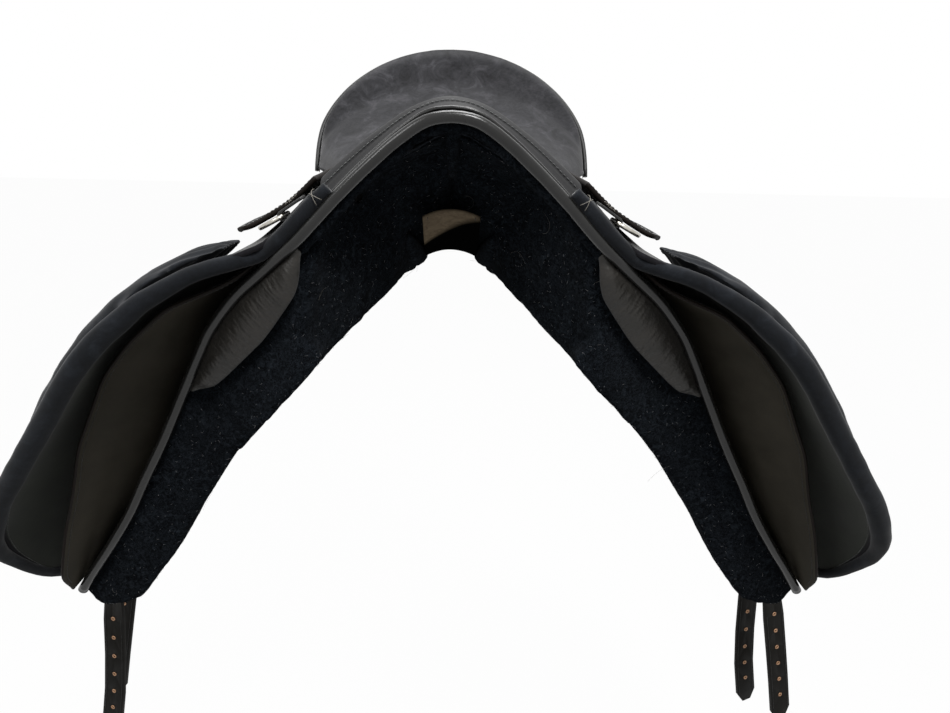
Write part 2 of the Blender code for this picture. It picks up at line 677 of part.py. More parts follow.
def build_sweat_flap(side, word):
    rows = steps(11, SWEAT_TOP_S, 0.490) + [0.520, 0.545, SWEAT_END_S]
    columns = [0.0, 0.06, 0.12, 0.18, 0.24, 0.30] + steps(3, 0.45, 1.0)

    def point(s, t, lift):
        y = mix(along(SWEAT_FRONT, s), along(SWEAT_REAR, s), t)
        return on_slope(side, s, sweat_height(s, y) + lift, y)

    layer("sweat_flap_" + word, [[point(s, t, 0.0) for t in columns] for s in rows],
          [[point(s, t, SWEAT_LEATHER) for t in columns] for s in rows], "brown_black_leather")


def hinge_point(side):
    return on_slope(side, HINGE_S, SKIRT_INNER[0][1] + SKIRT_LEATHER / 2, BAR_FRONT + BAR_LENGTH / 2)


def build_flap(side, word):
    """Flap with its notch for the stirrup bar, and the thigh block that is stitched to its outside."""
    pivot = hinge_point(side)
    rows = steps(13, FLAP_TOP_S, 0.510) + [0.532, 0.548, 0.561, FLAP_END_S]
    columns = [0.0, 0.06, 0.12, 0.18, 0.24, 0.30, 0.37, 0.45] + steps(3, 0.60, 1.0)

    def point(s, t, lift):
        y = mix(along(FLAP_FRONT, s), along(FLAP_REAR, s), t)
        low = s + FLAP_BOW * math.sin(math.pi * t) * smooth((s - 0.40) / 0.16)
        return on_slope(side, low, flap_height(low, y) + lift, y)

    flap = layer("flap_" + word, [[point(s, t, 0.0) for t in columns] for s in rows],
                 [[point(s, t, FLAP_LEATHER) for t in columns] for s in rows], "black_leather", pivot)
    notch = block("flap_notch_" + word, side, (FLAP_TOP_S - 0.02, BAR_S + NOTCH_DEPTH),
                  (-0.02, 0.08), (BAR_FRONT - NOTCH_MARGIN, BAR_FRONT + BAR_LENGTH + CATCH_LENGTH + NOTCH_MARGIN),
                  "black_leather")
    boolean(flap, notch, "DIFFERENCE")
    rear_notch = block("flap_rear_notch_" + word, side, (FLAP_TOP_S - 0.02, FLAP_REAR_TOP_S), (-0.02, 0.08),
                       (BAR_FRONT + BAR_LENGTH + CATCH_LENGTH, along(FLAP_REAR, 0.200) + 0.02), "black_leather")
    boolean(flap, rear_notch, "DIFFERENCE")
    block_rows = [BLOCK_TOP_S, 0.200] + steps(7, 0.222, 0.435) + [0.460, BLOCK_END_S]
    block_columns = [0.0, 0.07, 0.20, 0.45, 0.70, 0.88, 0.96, 1.0]
    crown = ((0.0, 0.12), (0.05, 0.55), (0.14, 0.86), (0.28, 1.0), (0.62, 1.0), (0.78, 0.96), (0.90, 0.80),
             (0.97, 0.52), (1.0, 0.18))

    def pad(s, t, high):
        ends = smooth((s - BLOCK_TOP_S) / 0.05) * smooth((BLOCK_END_S - s) / 0.06)
        y = mix(BLOCK_FRONT + 0.012 * (1.0 - ends), BLOCK_REAR - 0.030 * (1.0 - ends), t)
        base = flap_height(s, y) + FLAP_LEATHER + BLOCK_GAP
        crest = max(along(BLOCK_CREST, s), base + 0.006)
        return on_slope(side, s, mix(base, crest, along(crown, t)) if high else base, y)

    layer("thigh_block_" + word, [[pad(s, t, False) for t in block_columns] for s in block_rows],
          [[pad(s, t, True) for t in block_columns] for s in block_rows], "nubuck", pivot)


def build_skirt(side, word):
    rows = steps(5, HINGE_S + HINGE_CLEARANCE, 0.178) + [0.190, SKIRT_END_S]
    columns = eased(7)

    def point(s, t, lift):
        y = mix(along(SKIRT_FRONT, s), along(SKIRT_REAR, s), t)
        return on_slope(side, s, along(SKIRT_INNER, s) + lift, y)

    layer("skirt_" + word, [[point(s, t, 0.0) for t in columns] for s in rows],
          [[point(s, t, SKIRT_LEATHER) for t in columns] for s in rows], "black_leather", hinge_point(side))


def cut_plate(name, side, outline, s_range, finish, pivot=None):
    """A plate of an outline in the y, h plane, as thick as its range of s."""
    low = [on_slope(side, s_range[0], h, y) for y, h in outline]
    high = [on_slope(side, s_range[1], h, y) for y, h in outline]
    count = len(outline)
    faces = [tuple(range(count)), tuple(reversed(range(count, 2 * count)))]
    faces += [(k, k + count, (k + 1) % count + count, (k + 1) % count) for k in range(count)]
    points = low + high
    return add_object(name, mesh_from(name, points, facing_out(points, faces)), finish, pivot)


def build_stirrup_bar(side, word):
    """Forged bar that stands off its base, with a thumb catch pinned at its open rear end."""
    base_top = BAR_H - BAR_SLOT
    bar_top = BAR_H + BAR_THICKNESS
    ear_top = BAR_H + BAR_THICKNESS * EAR_SHARE
    rear = BAR_FRONT + BAR_LENGTH
    pin_y = rear + CATCH_LENGTH * 0.28
    ear_front = pin_y - EAR_MARGIN - GAP
    outline = ((BAR_FRONT, base_top - BAR_BASE_THICKNESS), (rear, base_top - BAR_BASE_THICKNESS),
               (rear, base_top), (BAR_FRONT + BAR_NECK, base_top), (BAR_FRONT + BAR_NECK, BAR_H),
               (pin_y + EAR_MARGIN, BAR_H), (pin_y + EAR_MARGIN, ear_top), (ear_front, ear_top),
               (ear_front, bar_top), (BAR_FRONT, bar_top))
    half = BAR_WIDTH / 2
    bar = cut_plate("stirrup_bar_" + word, side, outline, (BAR_S - half, BAR_S + half), "steel")
    pin = pin_between("catch_pin_" + word, side, PIN_RADIUS, pin_y, (ear_top - 0.0010, bar_top - 0.0003))
    boolean(bar, pin, "UNION")
    pivot = on_slope(side, BAR_S, 0.5 * (ear_top + bar_top), pin_y)
    catch_half = CATCH_WIDTH / 2
    rounded = [(BAR_S + catch_half * math.cos(a), pin_y + catch_half * math.sin(a))
               for a in steps(9, math.pi, 2 * math.pi)]
    outline = rounded + [(BAR_S + catch_half, rear + CATCH_LENGTH), (BAR_S - catch_half, rear + CATCH_LENGTH)]
    low = [on_slope(side, s, ear_top + GAP, y) for s, y in outline]
    high = [on_slope(side, s, bar_top - GAP, y) for s, y in outline]
    count = len(outline)
    faces = [tuple(range(count)), tuple(reversed(range(count, 2 * count)))]
    faces += [(k, k + count, (k + 1) % count + count, (k + 1) % count) for k in range(count)]
    points = low + high
    mesh = mesh_from("bar_catch_" + word, points, facing_out(points, faces))
    catch = add_object("bar_catch_" + word, mesh, "steel", pivot)
    bore = pin_between("catch_bore_" + word, side, PIN_RADIUS + PIN_CLEARANCE, pin_y,
                       (BAR_H - 0.004, bar_top + 0.004))
    boolean(catch, bore, "DIFFERENCE")


def tree_edge(y):
    """How far down the slope the tree's own side edge lies."""
    t = (y - SEAT_START) / (SEAT_WIDEST_FROM_FRONT - SEAT_START)
    edge = seat_point(TREE_SHARE_OF_WIDTH, t, TREE_DROP + TREE_THICKNESS)
    return (edge.x - edge.z + BEARING_DROP) * math.sin(SIDE_SLOPE)


def build_tree_point(side, word):
    """Wooden point of the tree that carries the stirrup bar and rests in the panel, clear of the tree's edge."""
    rows = steps(6, POINT_FRONT, BAR_FRONT + BAR_LENGTH)
    start = max(tree_edge(y) for y in rows) + POINT_CLEARANCE
    columns = steps(4, start, POINT_END_S)
    top = BAR_H - BAR_SLOT - BAR_BASE_THICKNESS - POINT_FIT

    def low(s, y):
        z = tree_underside(slope_x(s, POINT_MIDDLE_H), y) + POINT_SPACE
        return min(max(z / math.cos(SIDE_SLOPE) + s, POINT_LOW_H), top - POINT_LEAST)

    layer("tree_point_" + word, [[on_slope(side, s, low(s, y), y) for s in columns] for y in rows],
          [[on_slope(side, s, top, y) for s in columns] for y in rows], "wood")


def pin_between(name, side, radius, y, h_range):
    """A round pin that stands along the slope's outward direction."""
    low, high = [[on_slope(side, BAR_S + radius * math.cos(a), h, y + radius * math.sin(a)) for a in turn(16)]
                 for h in h_range]
    count = len(low)
    faces = [tuple(range(count)), tuple(reversed(range(count, 2 * count)))]
    faces += [(k, k + count, (k + 1) % count + count, (k + 1) % count) for k in range(count)]
    points = low + high
    return add_object(name, mesh_from(name, points, facing_out(points, faces)), "steel")


def turn(count):
    return [2.0 * math.pi * k / count for k in range(count)]


def build_ring(side, word):
    """D ring of wire in a folded leather chape on the flap's top."""
    pivot = ring_pivot(side)
    s0, h0 = RING_S, ring_height()
    corner = 0.005
    outline = [(s0 + corner - corner * math.cos(a), -(RING_HALF_WIDTH - corner) - corner * math.sin(a))
               for a in reversed(steps(5, 0.0, math.pi / 2))]
    outline += [(s0 + corner - corner * math.cos(a), (RING_HALF_WIDTH - corner) + corner * math.sin(a))
                for a in steps(5, 0.0, math.pi / 2)]
    bow = RING_DROP - corner
    outline += [(s0 + corner + bow * math.sin(a), RING_HALF_WIDTH * math.cos(a))
                for a in steps(15, 0.0, math.pi)[1:-1]]
    path = [on_slope(side, s, h0 + 0.30 * (s - s0), RING_FROM_FRONT + y) for s, y in outline]
    tube("d_ring_" + word, path, RING_WIRE_RADIUS, "nickel", resolution=2, closed=True, pivot=pivot)
    reach = RING_WIRE_RADIUS + GAP + CHAPE_LEATHER
    inner = RING_WIRE_RADIUS + GAP
    tail = 0.020
    loop = [(math.cos(a), math.sin(a)) for a in steps(9, -math.pi / 2, math.pi / 2)]
    lower = []
    upper = []
    stations = [(-tail, -1.0)] + loop + [(-tail, 1.0)]
    half = CHAPE_WIDTH / 2
    for c, n in stations:
        flat = c <= -tail
        ds_out = -tail if flat else reach * c
        ds_in = -tail if flat else inner * c
        out_h = n * reach if not flat else (n * reach if n < 0 else 0.0)
        in_h = n * inner if not flat else (n * inner if n < 0 else 0.0)
        if flat and n > 0:
            out_h, in_h = -reach + 2 * CHAPE_LEATHER + 2 * GAP, -reach + CHAPE_LEATHER + 2 * GAP
        upper.append([on_slope(side, s0 + ds_out, h0 + out_h, RING_FROM_FRONT + w) for w in (-half, half)])
        lower.append([on_slope(side, s0 + ds_in, h0 + in_h, RING_FROM_FRONT + w) for w in (-half, half)])
    layer("ring_chape_" + word, lower, upper, "black_leather", hinge_point(side))


RING_S = 0.150


def ring_height():
    y = RING_FROM_FRONT
    return flap_height(RING_S, y) + FLAP_LEATHER + CHAPE_LEATHER + RING_WIRE_RADIUS + 2 * GAP


def ring_pivot(side):
    return on_slope(side, RING_S, ring_height(), RING_FROM_FRONT)


def billet_path(lift, which, side):
    """Inner face of a billet: over the sweat flap, then hanging below it, each at its own distance from the horse."""
    drop = BILLET_DROP[which, side]

    def height(s):
        over = roll_height(s) + ROLL_RADIUS + GAP + SWEAT_LEATHER + GAP
        hang = along(BILLET_HANG, s) - drop * smooth((s - BILLET_DROP_START) / 0.19)
        return mix(over, hang, smooth((s - 0.520) / 0.04)) + lift
    return height


def build_billets(side, word):
    for which, from_front in (("front", FRONT_BILLET_FROM_FRONT), ("rear", REAR_BILLET_FROM_FRONT)):
        height = billet_path(GIRTH_WEB_THICKNESS + GAP, which, side)
        rows = steps(9, BILLET_TOP_S, 0.520) + steps(7, 0.555, BILLET_END_S - 0.012) + [BILLET_END_S]
        half = BILLET_WIDTH / 2

        def width_at(s):
            return half * mix(0.45, 1.0, math.sqrt(min(1.0, (BILLET_END_S - s) / 0.012)))

        def point(s, share, lift):
            slope = (height(s + 0.002) - height(s - 0.002)) / 0.004
            turn_h = 1.0 / math.hypot(1.0, slope)
            twist = BILLET_TWIST * smooth((s - 0.575) / 0.09)
            raised = lift - BILLET_LEATHER / 2
            out = share * width_at(s) * math.sin(twist) + raised * math.cos(twist) + BILLET_LEATHER / 2
            y = from_front + share * width_at(s) * math.cos(twist) - raised * math.sin(twist)
            return on_slope(side, s - slope * turn_h * out, height(s) + turn_h * out, y)

        pivot = on_slope(side, BILLET_TOP_S, height(BILLET_TOP_S), from_front)
        name = which + "_billet_" + word
        billet = layer(name, [[point(s, k, 0.0) for k in (-1.0, 0.0, 1.0)] for s in rows],
                       [[point(s, k, BILLET_LEATHER) for k in (-1.0, 0.0, 1.0)] for s in rows],
                       "brown_black_leather", pivot)
        for k in range(HOLE_COUNT):
            s = BILLET_END_S - HOLE_FROM_END - k * HOLE_SPACING
            slope = (height(s + 0.002) - height(s - 0.002)) / 0.004
            turn_h = 1.0 / math.hypot(1.0, slope)
            out = math.cos(BILLET_TWIST)
            direction = on_slope(side, -slope * turn_h * out, turn_h * out, -math.sin(BILLET_TWIST))
            direction -= on_slope(side, 0.0, 0.0, 0.0)
            middle = point(s, 0.0, BILLET_LEATHER / 2)
            punch = punch_at(name + "_punch_" + str(k), middle, direction.normalized())
            boolean(billet, punch, "DIFFERENCE")
        web_end = BILLET_TOP_S + GIRTH_WEB_OVERLAP
        web_rows = steps(7, web_end - GIRTH_WEB_LENGTH, web_end)
        flat = billet_path(0.0, which, side)
        web_half = half * 0.92
        layer("girth_web_" + which + "_" + word,
              [[on_slope(side, s, flat(s), from_front + k * web_half) for k in (-1.0, 1.0)] for s in web_rows],
              [[on_slope(side, s, flat(s) + GIRTH_WEB_THICKNESS, from_front + k * web_half)
                for k in (-1.0, 1.0)] for s in web_rows], "webbing")


def punch_at(name, centre, direction):
    """A round punch through a strap."""
    sideways = direction.cross(Vector((0.0, 0.0, 1.0))).normalized()
    other = direction.cross(sideways).normalized()
    reach = BILLET_LEATHER
    low = []
    high = []
    for a in turn(8):
        rim = sideways * math.cos(a) * HOLE_RADIUS + other * math.sin(a) * HOLE_RADIUS
        low.append(centre + rim - direction * reach)
        high.append(centre + rim + direction * reach)
    count = len(low)
    faces = [tuple(range(count)), tuple(reversed(range(count, 2 * count)))]
    faces += [(k, k + count, (k + 1) % count + count, (k + 1) % count) for k in range(count)]
    points = low + high
    return add_object(name, mesh_from(name, points, facing_out(points, faces)), "brown_black_leather")


def build():
    for old in list(bpy.data.objects):
        bpy.data.objects.remove(old)
    build_seat()
    build_cantle_back()
    build_pommel()
    build_channel()
    for side, word in ((-1, "left"), (1, "right")):
        build_panel(side, word)
        build_facing(side, word)
        build_sweat_flap(side, word)
        build_flap(side, word)
        build_skirt(side, word)
        build_tree_point(side, word)
        build_stirrup_bar(side, word)
        build_ring(side, word)
        build_billets(side, word)


build()
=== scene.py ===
"""A dressage saddle in black leather, charcoal nubuck and felt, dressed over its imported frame.

The script is laid out as a Blender add-on and is run as a script. Lengths are in metres unless a name
says mm.
A saddle frame is used for the leathers: y runs back from the pommel's front, and on each side s runs down a
slope of 45 degrees while h stands out from it.
"""

import math
import random

import bmesh
import bpy
from mathutils import Matrix, Vector, noise


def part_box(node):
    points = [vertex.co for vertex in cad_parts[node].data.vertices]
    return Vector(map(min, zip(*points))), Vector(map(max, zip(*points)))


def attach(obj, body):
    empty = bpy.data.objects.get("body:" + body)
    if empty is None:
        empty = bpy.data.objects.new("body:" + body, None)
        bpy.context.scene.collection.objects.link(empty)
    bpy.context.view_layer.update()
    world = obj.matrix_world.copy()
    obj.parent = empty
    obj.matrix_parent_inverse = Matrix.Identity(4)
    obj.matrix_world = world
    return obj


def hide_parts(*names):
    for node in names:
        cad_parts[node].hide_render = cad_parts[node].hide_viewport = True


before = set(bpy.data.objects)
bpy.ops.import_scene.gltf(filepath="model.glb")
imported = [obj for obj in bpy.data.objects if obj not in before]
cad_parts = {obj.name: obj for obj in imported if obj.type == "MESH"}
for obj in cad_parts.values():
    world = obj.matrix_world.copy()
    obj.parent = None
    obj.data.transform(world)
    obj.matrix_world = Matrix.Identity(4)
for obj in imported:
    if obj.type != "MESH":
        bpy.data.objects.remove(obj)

bl_info = {
    "name": "Dressage saddle",
    "version": (1, 0, 0),
    "blender": (4, 5, 0),
    "location": "View3D > Sidebar > Saddle",
    "description": "Builds the leathers, pads, stitching and hardware of a dressage saddle",
    "category": "Object",
}

# Frame of the saddle
BEARING_DROP = 0.200
SEAT_LOW_FROM_FRONT = 0.220
SLOPE = math.radians(45.0)
SIDES = ((-1, "left"), (1, "right"))

# Thicknesses that the pieces share
GAP = 0.0005
ROLL_RADIUS = 0.0046
ROLL_END_S = 0.570
ROLL_TUCK = 0.008
SWEAT_LEATHER = 0.003
FLAP_LEATHER = 0.0045
SKIRT_LEATHER = 0.0045
SEAT_LEATHER = 0.005
BILLET_LEATHER = 0.004
BILLET_SPACE = 0.0086
WEB_THICKNESS = 0.0016

# Profiles: distance down the slope and height over it
ROLL_SLOPE = ((0.0035, -0.0035), (0.0119, 0.0035), (0.0223, 0.0086), (0.0390, 0.0120), (0.0578, 0.0140),
              (0.098, 0.0155), (0.147, 0.0145), (0.183, 0.0165), (0.220, 0.0190),
              (0.257, 0.0160), (0.291, 0.0070), (0.328, -0.0050), (0.375, -0.0210), (0.420, -0.0345),
              (0.458, -0.0465), (0.497, -0.0550), (0.537, -0.0620), (0.573, -0.0700), (0.640, -0.0900))
PANEL_FRONT = ((0.0, 0.0), (0.114, 0.0), (0.142, 0.010), (0.170, 0.020), (0.195, 0.030), (0.231, 0.040),
               (0.300, 0.040), (0.340, 0.046), (0.380, 0.056))
SWEAT_TOP_S = 0.166
SWEAT_END_S = 0.560
SWEAT_FRONT = ((0.166, 0.020), (0.206, 0.010), (0.262, 0.000), (0.395, 0.000), (0.478, 0.004),
               (0.530, 0.010), (0.560, 0.034))
SWEAT_FLARE = ((0.166, 0.000), (0.206, 0.002), (0.267, 0.028), (0.317, 0.045), (0.351, 0.051),
               (0.401, 0.049), (0.435, 0.042), (0.480, 0.032), (0.520, 0.018), (0.560, 0.002))
SWEAT_REAR = ((0.166, 0.300), (0.400, 0.300), (0.500, 0.288), (0.540, 0.262), (0.560, 0.215))
FLAP_TOP_S = 0.1165
FLAP_END_S = 0.579
FLAP_SEWN_IN = 0.0115
BINDING_TOP_S = 0.104
BINDING_END_S = 0.576
CROSS_S = 0.1150
CROSS_LEAN = 0.0028
CROSS_REACH = 0.0066
EAR_DROP = 0.0060
FLAP_BOW = 0.018
EAR_END_S = 0.196
EAR_END_Y = 0.075
FLAP_FRONT = ((0.1165, -0.001), (0.150, -0.003), (0.191, -0.006), (0.220, -0.012), (0.247, -0.020),
              (0.293, -0.030),
              (0.344, -0.035), (0.420, -0.035), (0.460, -0.032), (0.500, -0.024), (0.530, -0.008), (0.550,
                                                                                                    0.014),
              (0.567, 0.044), (0.579, 0.090))
FLAP_FLARE = ((0.1165, 0.000), (0.150, 0.000), (0.191, 0.0020), (0.227, 0.0150), (0.252, 0.0245),
              (0.276, 0.0330),
              (0.298, 0.0415), (0.329, 0.0500), (0.360, 0.0550), (0.392, 0.0585), (0.420, 0.0615), (0.467,
                                                                                                    0.0670),
              (0.511, 0.0610), (0.540, 0.0480), (0.560, 0.0300), (0.579, 0.0060))
FLAP_REAR = ((0.1165, 0.290), (0.200, 0.300), (0.420, 0.305), (0.512, 0.300), (0.547, 0.284),
             (0.566, 0.255), (0.579, 0.195))
SKIRT_INNER = ((0.1165, 0.0367), (0.1290, 0.0368), (0.1450, 0.0378), (0.1630, 0.0415), (0.1960, 0.0505))
SKIRT_TOP_S = 0.1166
SKIRT_END_S = 0.197
SKIRT_FRONT = ((0.1165, 0.052), (0.185, 0.052), (0.197, 0.066))
SKIRT_REAR = ((0.1165, 0.200), (0.160, 0.200), (0.185, 0.184), (0.197, 0.164))
FACING_INNER = ((0.151, 0.003), (0.171, -0.009), (0.198, -0.015), (0.240, -0.020), (0.280, -0.020),
                (0.325, -0.016))
BILLET_HANG = ((0.540, -0.0510), (0.600, -0.0790), (0.660, -0.1140), (0.720, -0.1510), (0.800, -0.2020),
               (0.826, -0.2200))
BILLET_FROM_FRONT = {"front": 0.152, "rear": 0.202}
BILLET_DROP = {("front", -1): 0.022, ("rear", -1): 0.002, ("front", 1): 0.0, ("rear", 1): 0.030}
BILLET_DROP_START = 0.590
BILLET_END_S = 0.815
HOLE_COUNT = 6
HOLE_FROM_END = 0.032
HOLE_SPACING = 0.0215
HOLE_RIM_RADIUS = 0.0019
BILLET_TWIST = math.radians(74.0)
SEAT_START = 0.048
ARCH_TOP = 0.0100
ARCH_RADIUS = 0.053
SEAT_WIDEST = 0.330
SEAT_BOW = 0.100
RIM_RISE = 0.121
RIM_SIDE_DROP = 0.020
RIM_SIDE_SHARE = 0.30
SEAT_STATIONS = (
    (0.000, 0.080, 0.0000, -0.0540, 0.45, 0.0),
    (0.048, 0.096, 0.0100, -0.0510, 0.50, 0.0),
    (0.080, 0.101, 0.0040, -0.0560, 0.52, 0.0),
    (0.120, 0.103, -0.0140, -0.0585, 0.70, 0.02),
    (0.170, 0.105, -0.0330, -0.0590, 1.20, 0.10),
    (0.220, 0.117, -0.0430, -0.0600, 1.80, 0.30),
    (0.270, 0.138, -0.0410, -0.0580, 2.00, 0.60),
    (0.310, 0.153, -0.0260, -0.0530, 2.00, 0.86),
    (0.330, 0.1565, -0.0050, -0.0500, 2.00, 1.00),
)
CEILING = ((0.000, -0.020), (0.030, -0.050), (0.060, -0.078), (0.100, -0.107), (0.150, -0.126),
           (0.200, -0.133), (0.300, -0.131), (0.400, -0.124), (0.452, -0.118))

# Strip and felt in the gullet
STRIP_SEWN_TO = 0.066
GULLET_CORNER_X = 0.0370
GULLET_CORNER_DROP = 0.0062
GULLET_CORNER_RADIUS = 0.0135

# Photograph's camera
PHOTO_WIDTH = 950.0
CAMERA_PLACE = (0.0, -0.750, 0.200)
CAMERA_PITCH = math.radians(19.40)
CAMERA_YAW = math.radians(2.20)
CAMERA_ROLL = math.radians(1.5)
FOCAL_PIXELS = 700.0
SENSOR_MM = 36.0


# Numbers and places

def along(points, value):
    """Smooth curve through the points, read at a value."""
    xs = [p[0] for p in points]
    ys = [p[1] for p in points]
    if value <= xs[0]:
        return ys[0]
    if value >= xs[-1]:
        return ys[-1]
    i = max(k for k in range(len(xs) - 1) if xs[k] <= value)
    slope = [(ys[k + 1] - ys[k]) / (xs[k + 1] - xs[k]) for k in range(len(xs) - 1)]

    def tangent(k):
        if k == 0 or k == len(xs) - 1:
            return slope[0] if k == 0 else slope[-1]
        if slope[k - 1] * slope[k] <= 0.0:
            return 0.0
        return 2.0 * slope[k - 1] * slope[k] / (slope[k - 1] + slope[k])

    step = xs[i + 1] - xs[i]
    t = (value - xs[i]) / step
    a = ys[i] * (2 * t**3 - 3 * t**2 + 1) + ys[i + 1] * (3 * t**2 - 2 * t**3)
    return a + step * (tangent(i) * (t**3 - 2 * t**2 + t) + tangent(i + 1) * (t**3 - t**2))


def smooth(t):
    t = min(max(t, 0.0), 1.0)
    return t * t * (3.0 - 2.0 * t)


def mix(a, b, t):
    return a + (b - a) * t


def steps(count, start=0.0, end=1.0):
    return [start + (end - start) * k / (count - 1) for k in range(count)]


def placed(x, y, z):
    return Vector((x, y - SEAT_LOW_FROM_FRONT, z + BEARING_DROP))


def on_slope(side, s, h, y):
    x = s * math.cos(SLOPE) + h * math.sin(SLOPE)
    z = h * math.cos(SLOPE) - s * math.sin(SLOPE)
    return placed(side * x, y, z)


def slope_x(s, h):
    return s * math.cos(SLOPE) + h * math.sin(SLOPE)


def roll_height(s):
    return along(ROLL_SLOPE, s)


def panel_front(x):
    return along(PANEL_FRONT, abs(x))


def sweat_height(s, y):
    base = roll_height(s) + ROLL_RADIUS + GAP
    return base + along(SWEAT_FLARE, s) * smooth((0.088 - y) / 0.088)


def flap_height(s, y):
    base = roll_height(s) + ROLL_RADIUS + GAP + SWEAT_LEATHER + BILLET_SPACE
    base -= EAR_DROP * smooth((EAR_END_S - s) / 0.030) * smooth((EAR_END_Y - y) / 0.020)
    return base + along(FLAP_FLARE, s) * smooth((0.118 - y) / 0.128)


def seat_station(y):
    return [along([(st[0], st[k]) for st in SEAT_STATIONS], y) for k in range(1, 6)]


def seat_point(u, t, drop):
    """A point of the seat: u from side to side, t from pommel to cantle, drop below the leather's face."""
    y0 = mix(SEAT_START, SEAT_WIDEST, t)
    half_width, centre, edge, roundness, bow = seat_station(y0)
    a = abs(u)
    arch = math.sqrt(max(0.0, 1.0 - min(a, 1.0) ** 2))
    soft = (math.hypot(a, roundness) - roundness) / (math.hypot(1.0, roundness) - roundness)
    y = y0 + SEAT_BOW * bow * arch
    rim = along(((0.0, 0.0), (0.86, 0.55), (1.0, 1.0)), bow)
    dish = edge + RIM_RISE * arch - RIM_SIDE_DROP * max(0.0, 1.0 - arch / RIM_SIDE_SHARE) ** 2
    z = mix(mix(centre, edge, soft), dish, rim)
    return placed(u * half_width, y, z - drop)


def arch_height(x, y):
    behind = ARCH_TOP - (math.hypot(x, ARCH_RADIUS) - ARCH_RADIUS)
    return mix(along(ROLL_LINE, abs(x)), behind, smooth(y / 0.05))


ROLL_LINE = [((s + h) * math.sin(SLOPE), (h - s) * math.sin(SLOPE)) for s, h in ROLL_SLOPE]
ROLL_LINE[0] = (0.0, ROLL_LINE[0][1])


def wobble(point, size_mm, seed):
    """Smooth noise between about -1 and 1 with features of a size."""
    return noise.noise(point * (1000.0 / size_mm) + Vector((seed * 7.3, seed * 3.1, seed * 5.7)))


# Colours and nodes

def linear(hex_colour):
    """An sRGB hex colour as linear RGBA."""
    values = [int(hex_colour[k:k + 2], 16) / 255.0 for k in (1, 3, 5)]
    return (*[v / 12.92 if v <= 0.04045 else ((v + 0.055) / 1.055) ** 2.4 for v in values], 1.0)


def add_node(tree, kind, links=(), **values):
    """Adds a node, sets its inputs and properties by name, and links outputs into its inputs."""
    made = tree.nodes.new(kind)
    for key, value in values.items():
        if key in made.inputs:
            made.inputs[key].default_value = value
        else:
            setattr(made, key, value)
    for socket, source in links:
        tree.links.new(source, made.inputs[socket])
    return made


def started(name, **shader_values):
    """A new material, its tree, its Principled shader and its object coordinates."""
    made = bpy.data.materials.new(name)
    made.use_nodes = True
    tree = made.node_tree
    shader = tree.nodes["Principled BSDF"]
    for key, value in shader_values.items():
        shader.inputs[key.replace("_", " ")].default_value = value
    place = add_node(tree, "ShaderNodeTexCoord").outputs["Object"]
    return made, tree, shader, place


def noise_at(tree, place, size_mm, detail=3.0, roughness=0.55, distortion=0.0):
    return add_node(tree, "ShaderNodeTexNoise", [("Vector", place)], Scale=1000.0 / size_mm, Detail=detail,
                    Roughness=roughness, Distortion=distortion).outputs["Fac"]


def cells_at(tree, place, size_mm, feature="F1"):
    return add_node(tree, "ShaderNodeTexVoronoi", [("Vector", place)], Scale=1000.0 / size_mm,
                    feature=feature).outputs["Distance"]


def ramp(tree, factor, stops):
    """A colour ramp from (position, hex colour) pairs."""
    made = add_node(tree, "ShaderNodeValToRGB", [("Fac", factor)])
    elements = made.color_ramp.elements
    while len(elements) < len(stops):
        elements.new(1.0)
    for element, (position, colour) in zip(elements, stops):
        element.position = position
        element.color = linear(colour)
    return made.outputs["Color"]


def ranged(tree, factor, low, high, start=0.3, end=0.7):
    made = add_node(tree, "ShaderNodeMapRange", [("Value", factor)])
    for name, value in (("From Min", start), ("From Max", end), ("To Min", low), ("To Max", high)):
        made.inputs[name].default_value = value
    return made.outputs["Result"]


def bumped(tree, shader, layers):
    """Stacks bumps: each layer is (height output, depth in mm, strength)."""
    normal = None
    for height, depth_mm, strength in layers:
        links = [("Height", height)] + ([("Normal", normal)] if normal else [])
        normal = add_node(tree, "ShaderNodeBump", links, Distance=depth_mm / 1000.0,
                          Strength=strength).outputs["Normal"]
    tree.links.new(normal, shader.inputs["Normal"])


def mixed(tree, factor, first, second):
    """Blends two colour outputs by a factor output."""
    made = add_node(tree, "ShaderNodeMix", data_type="RGBA")
    tree.links.new(factor, made.inputs[0])
    tree.links.new(first, made.inputs[6])
    tree.links.new(second, made.inputs[7])
    return made.outputs[2]


# Materials

def make_smooth_leather(name, base, light, roughness=0.34, grain_mm=0.9, coat=0.12, crease_mm=26.0,
                        gloss=0.5):
    """Dyed full-grain leather with a dressed face: pores, faint creases and rubbed patches."""
    made, tree, shader, place = started(name, Coat_Weight=coat, Coat_Roughness=0.16, IOR=1.48,
                                         Specular_IOR_Level=gloss)
    patches = noise_at(tree, place, 38.0, 4.0, 0.6)
    pores = cells_at(tree, place, grain_mm)
    fine = noise_at(tree, place, grain_mm * 0.6, 2.0)
    creases = noise_at(tree, place, crease_mm, 5.0, 0.62, 1.6)
    tree.links.new(ramp(tree, patches, [(0.30, base), (0.78, light)]), shader.inputs["Base Color"])
    tree.links.new(ranged(tree, patches, roughness - 0.05, roughness + 0.12), shader.inputs["Roughness"])
    bumped(tree, shader, [(creases, 0.5, 0.25), (pores, 0.10, 0.35), (fine, 0.05, 0.30)])
    return made


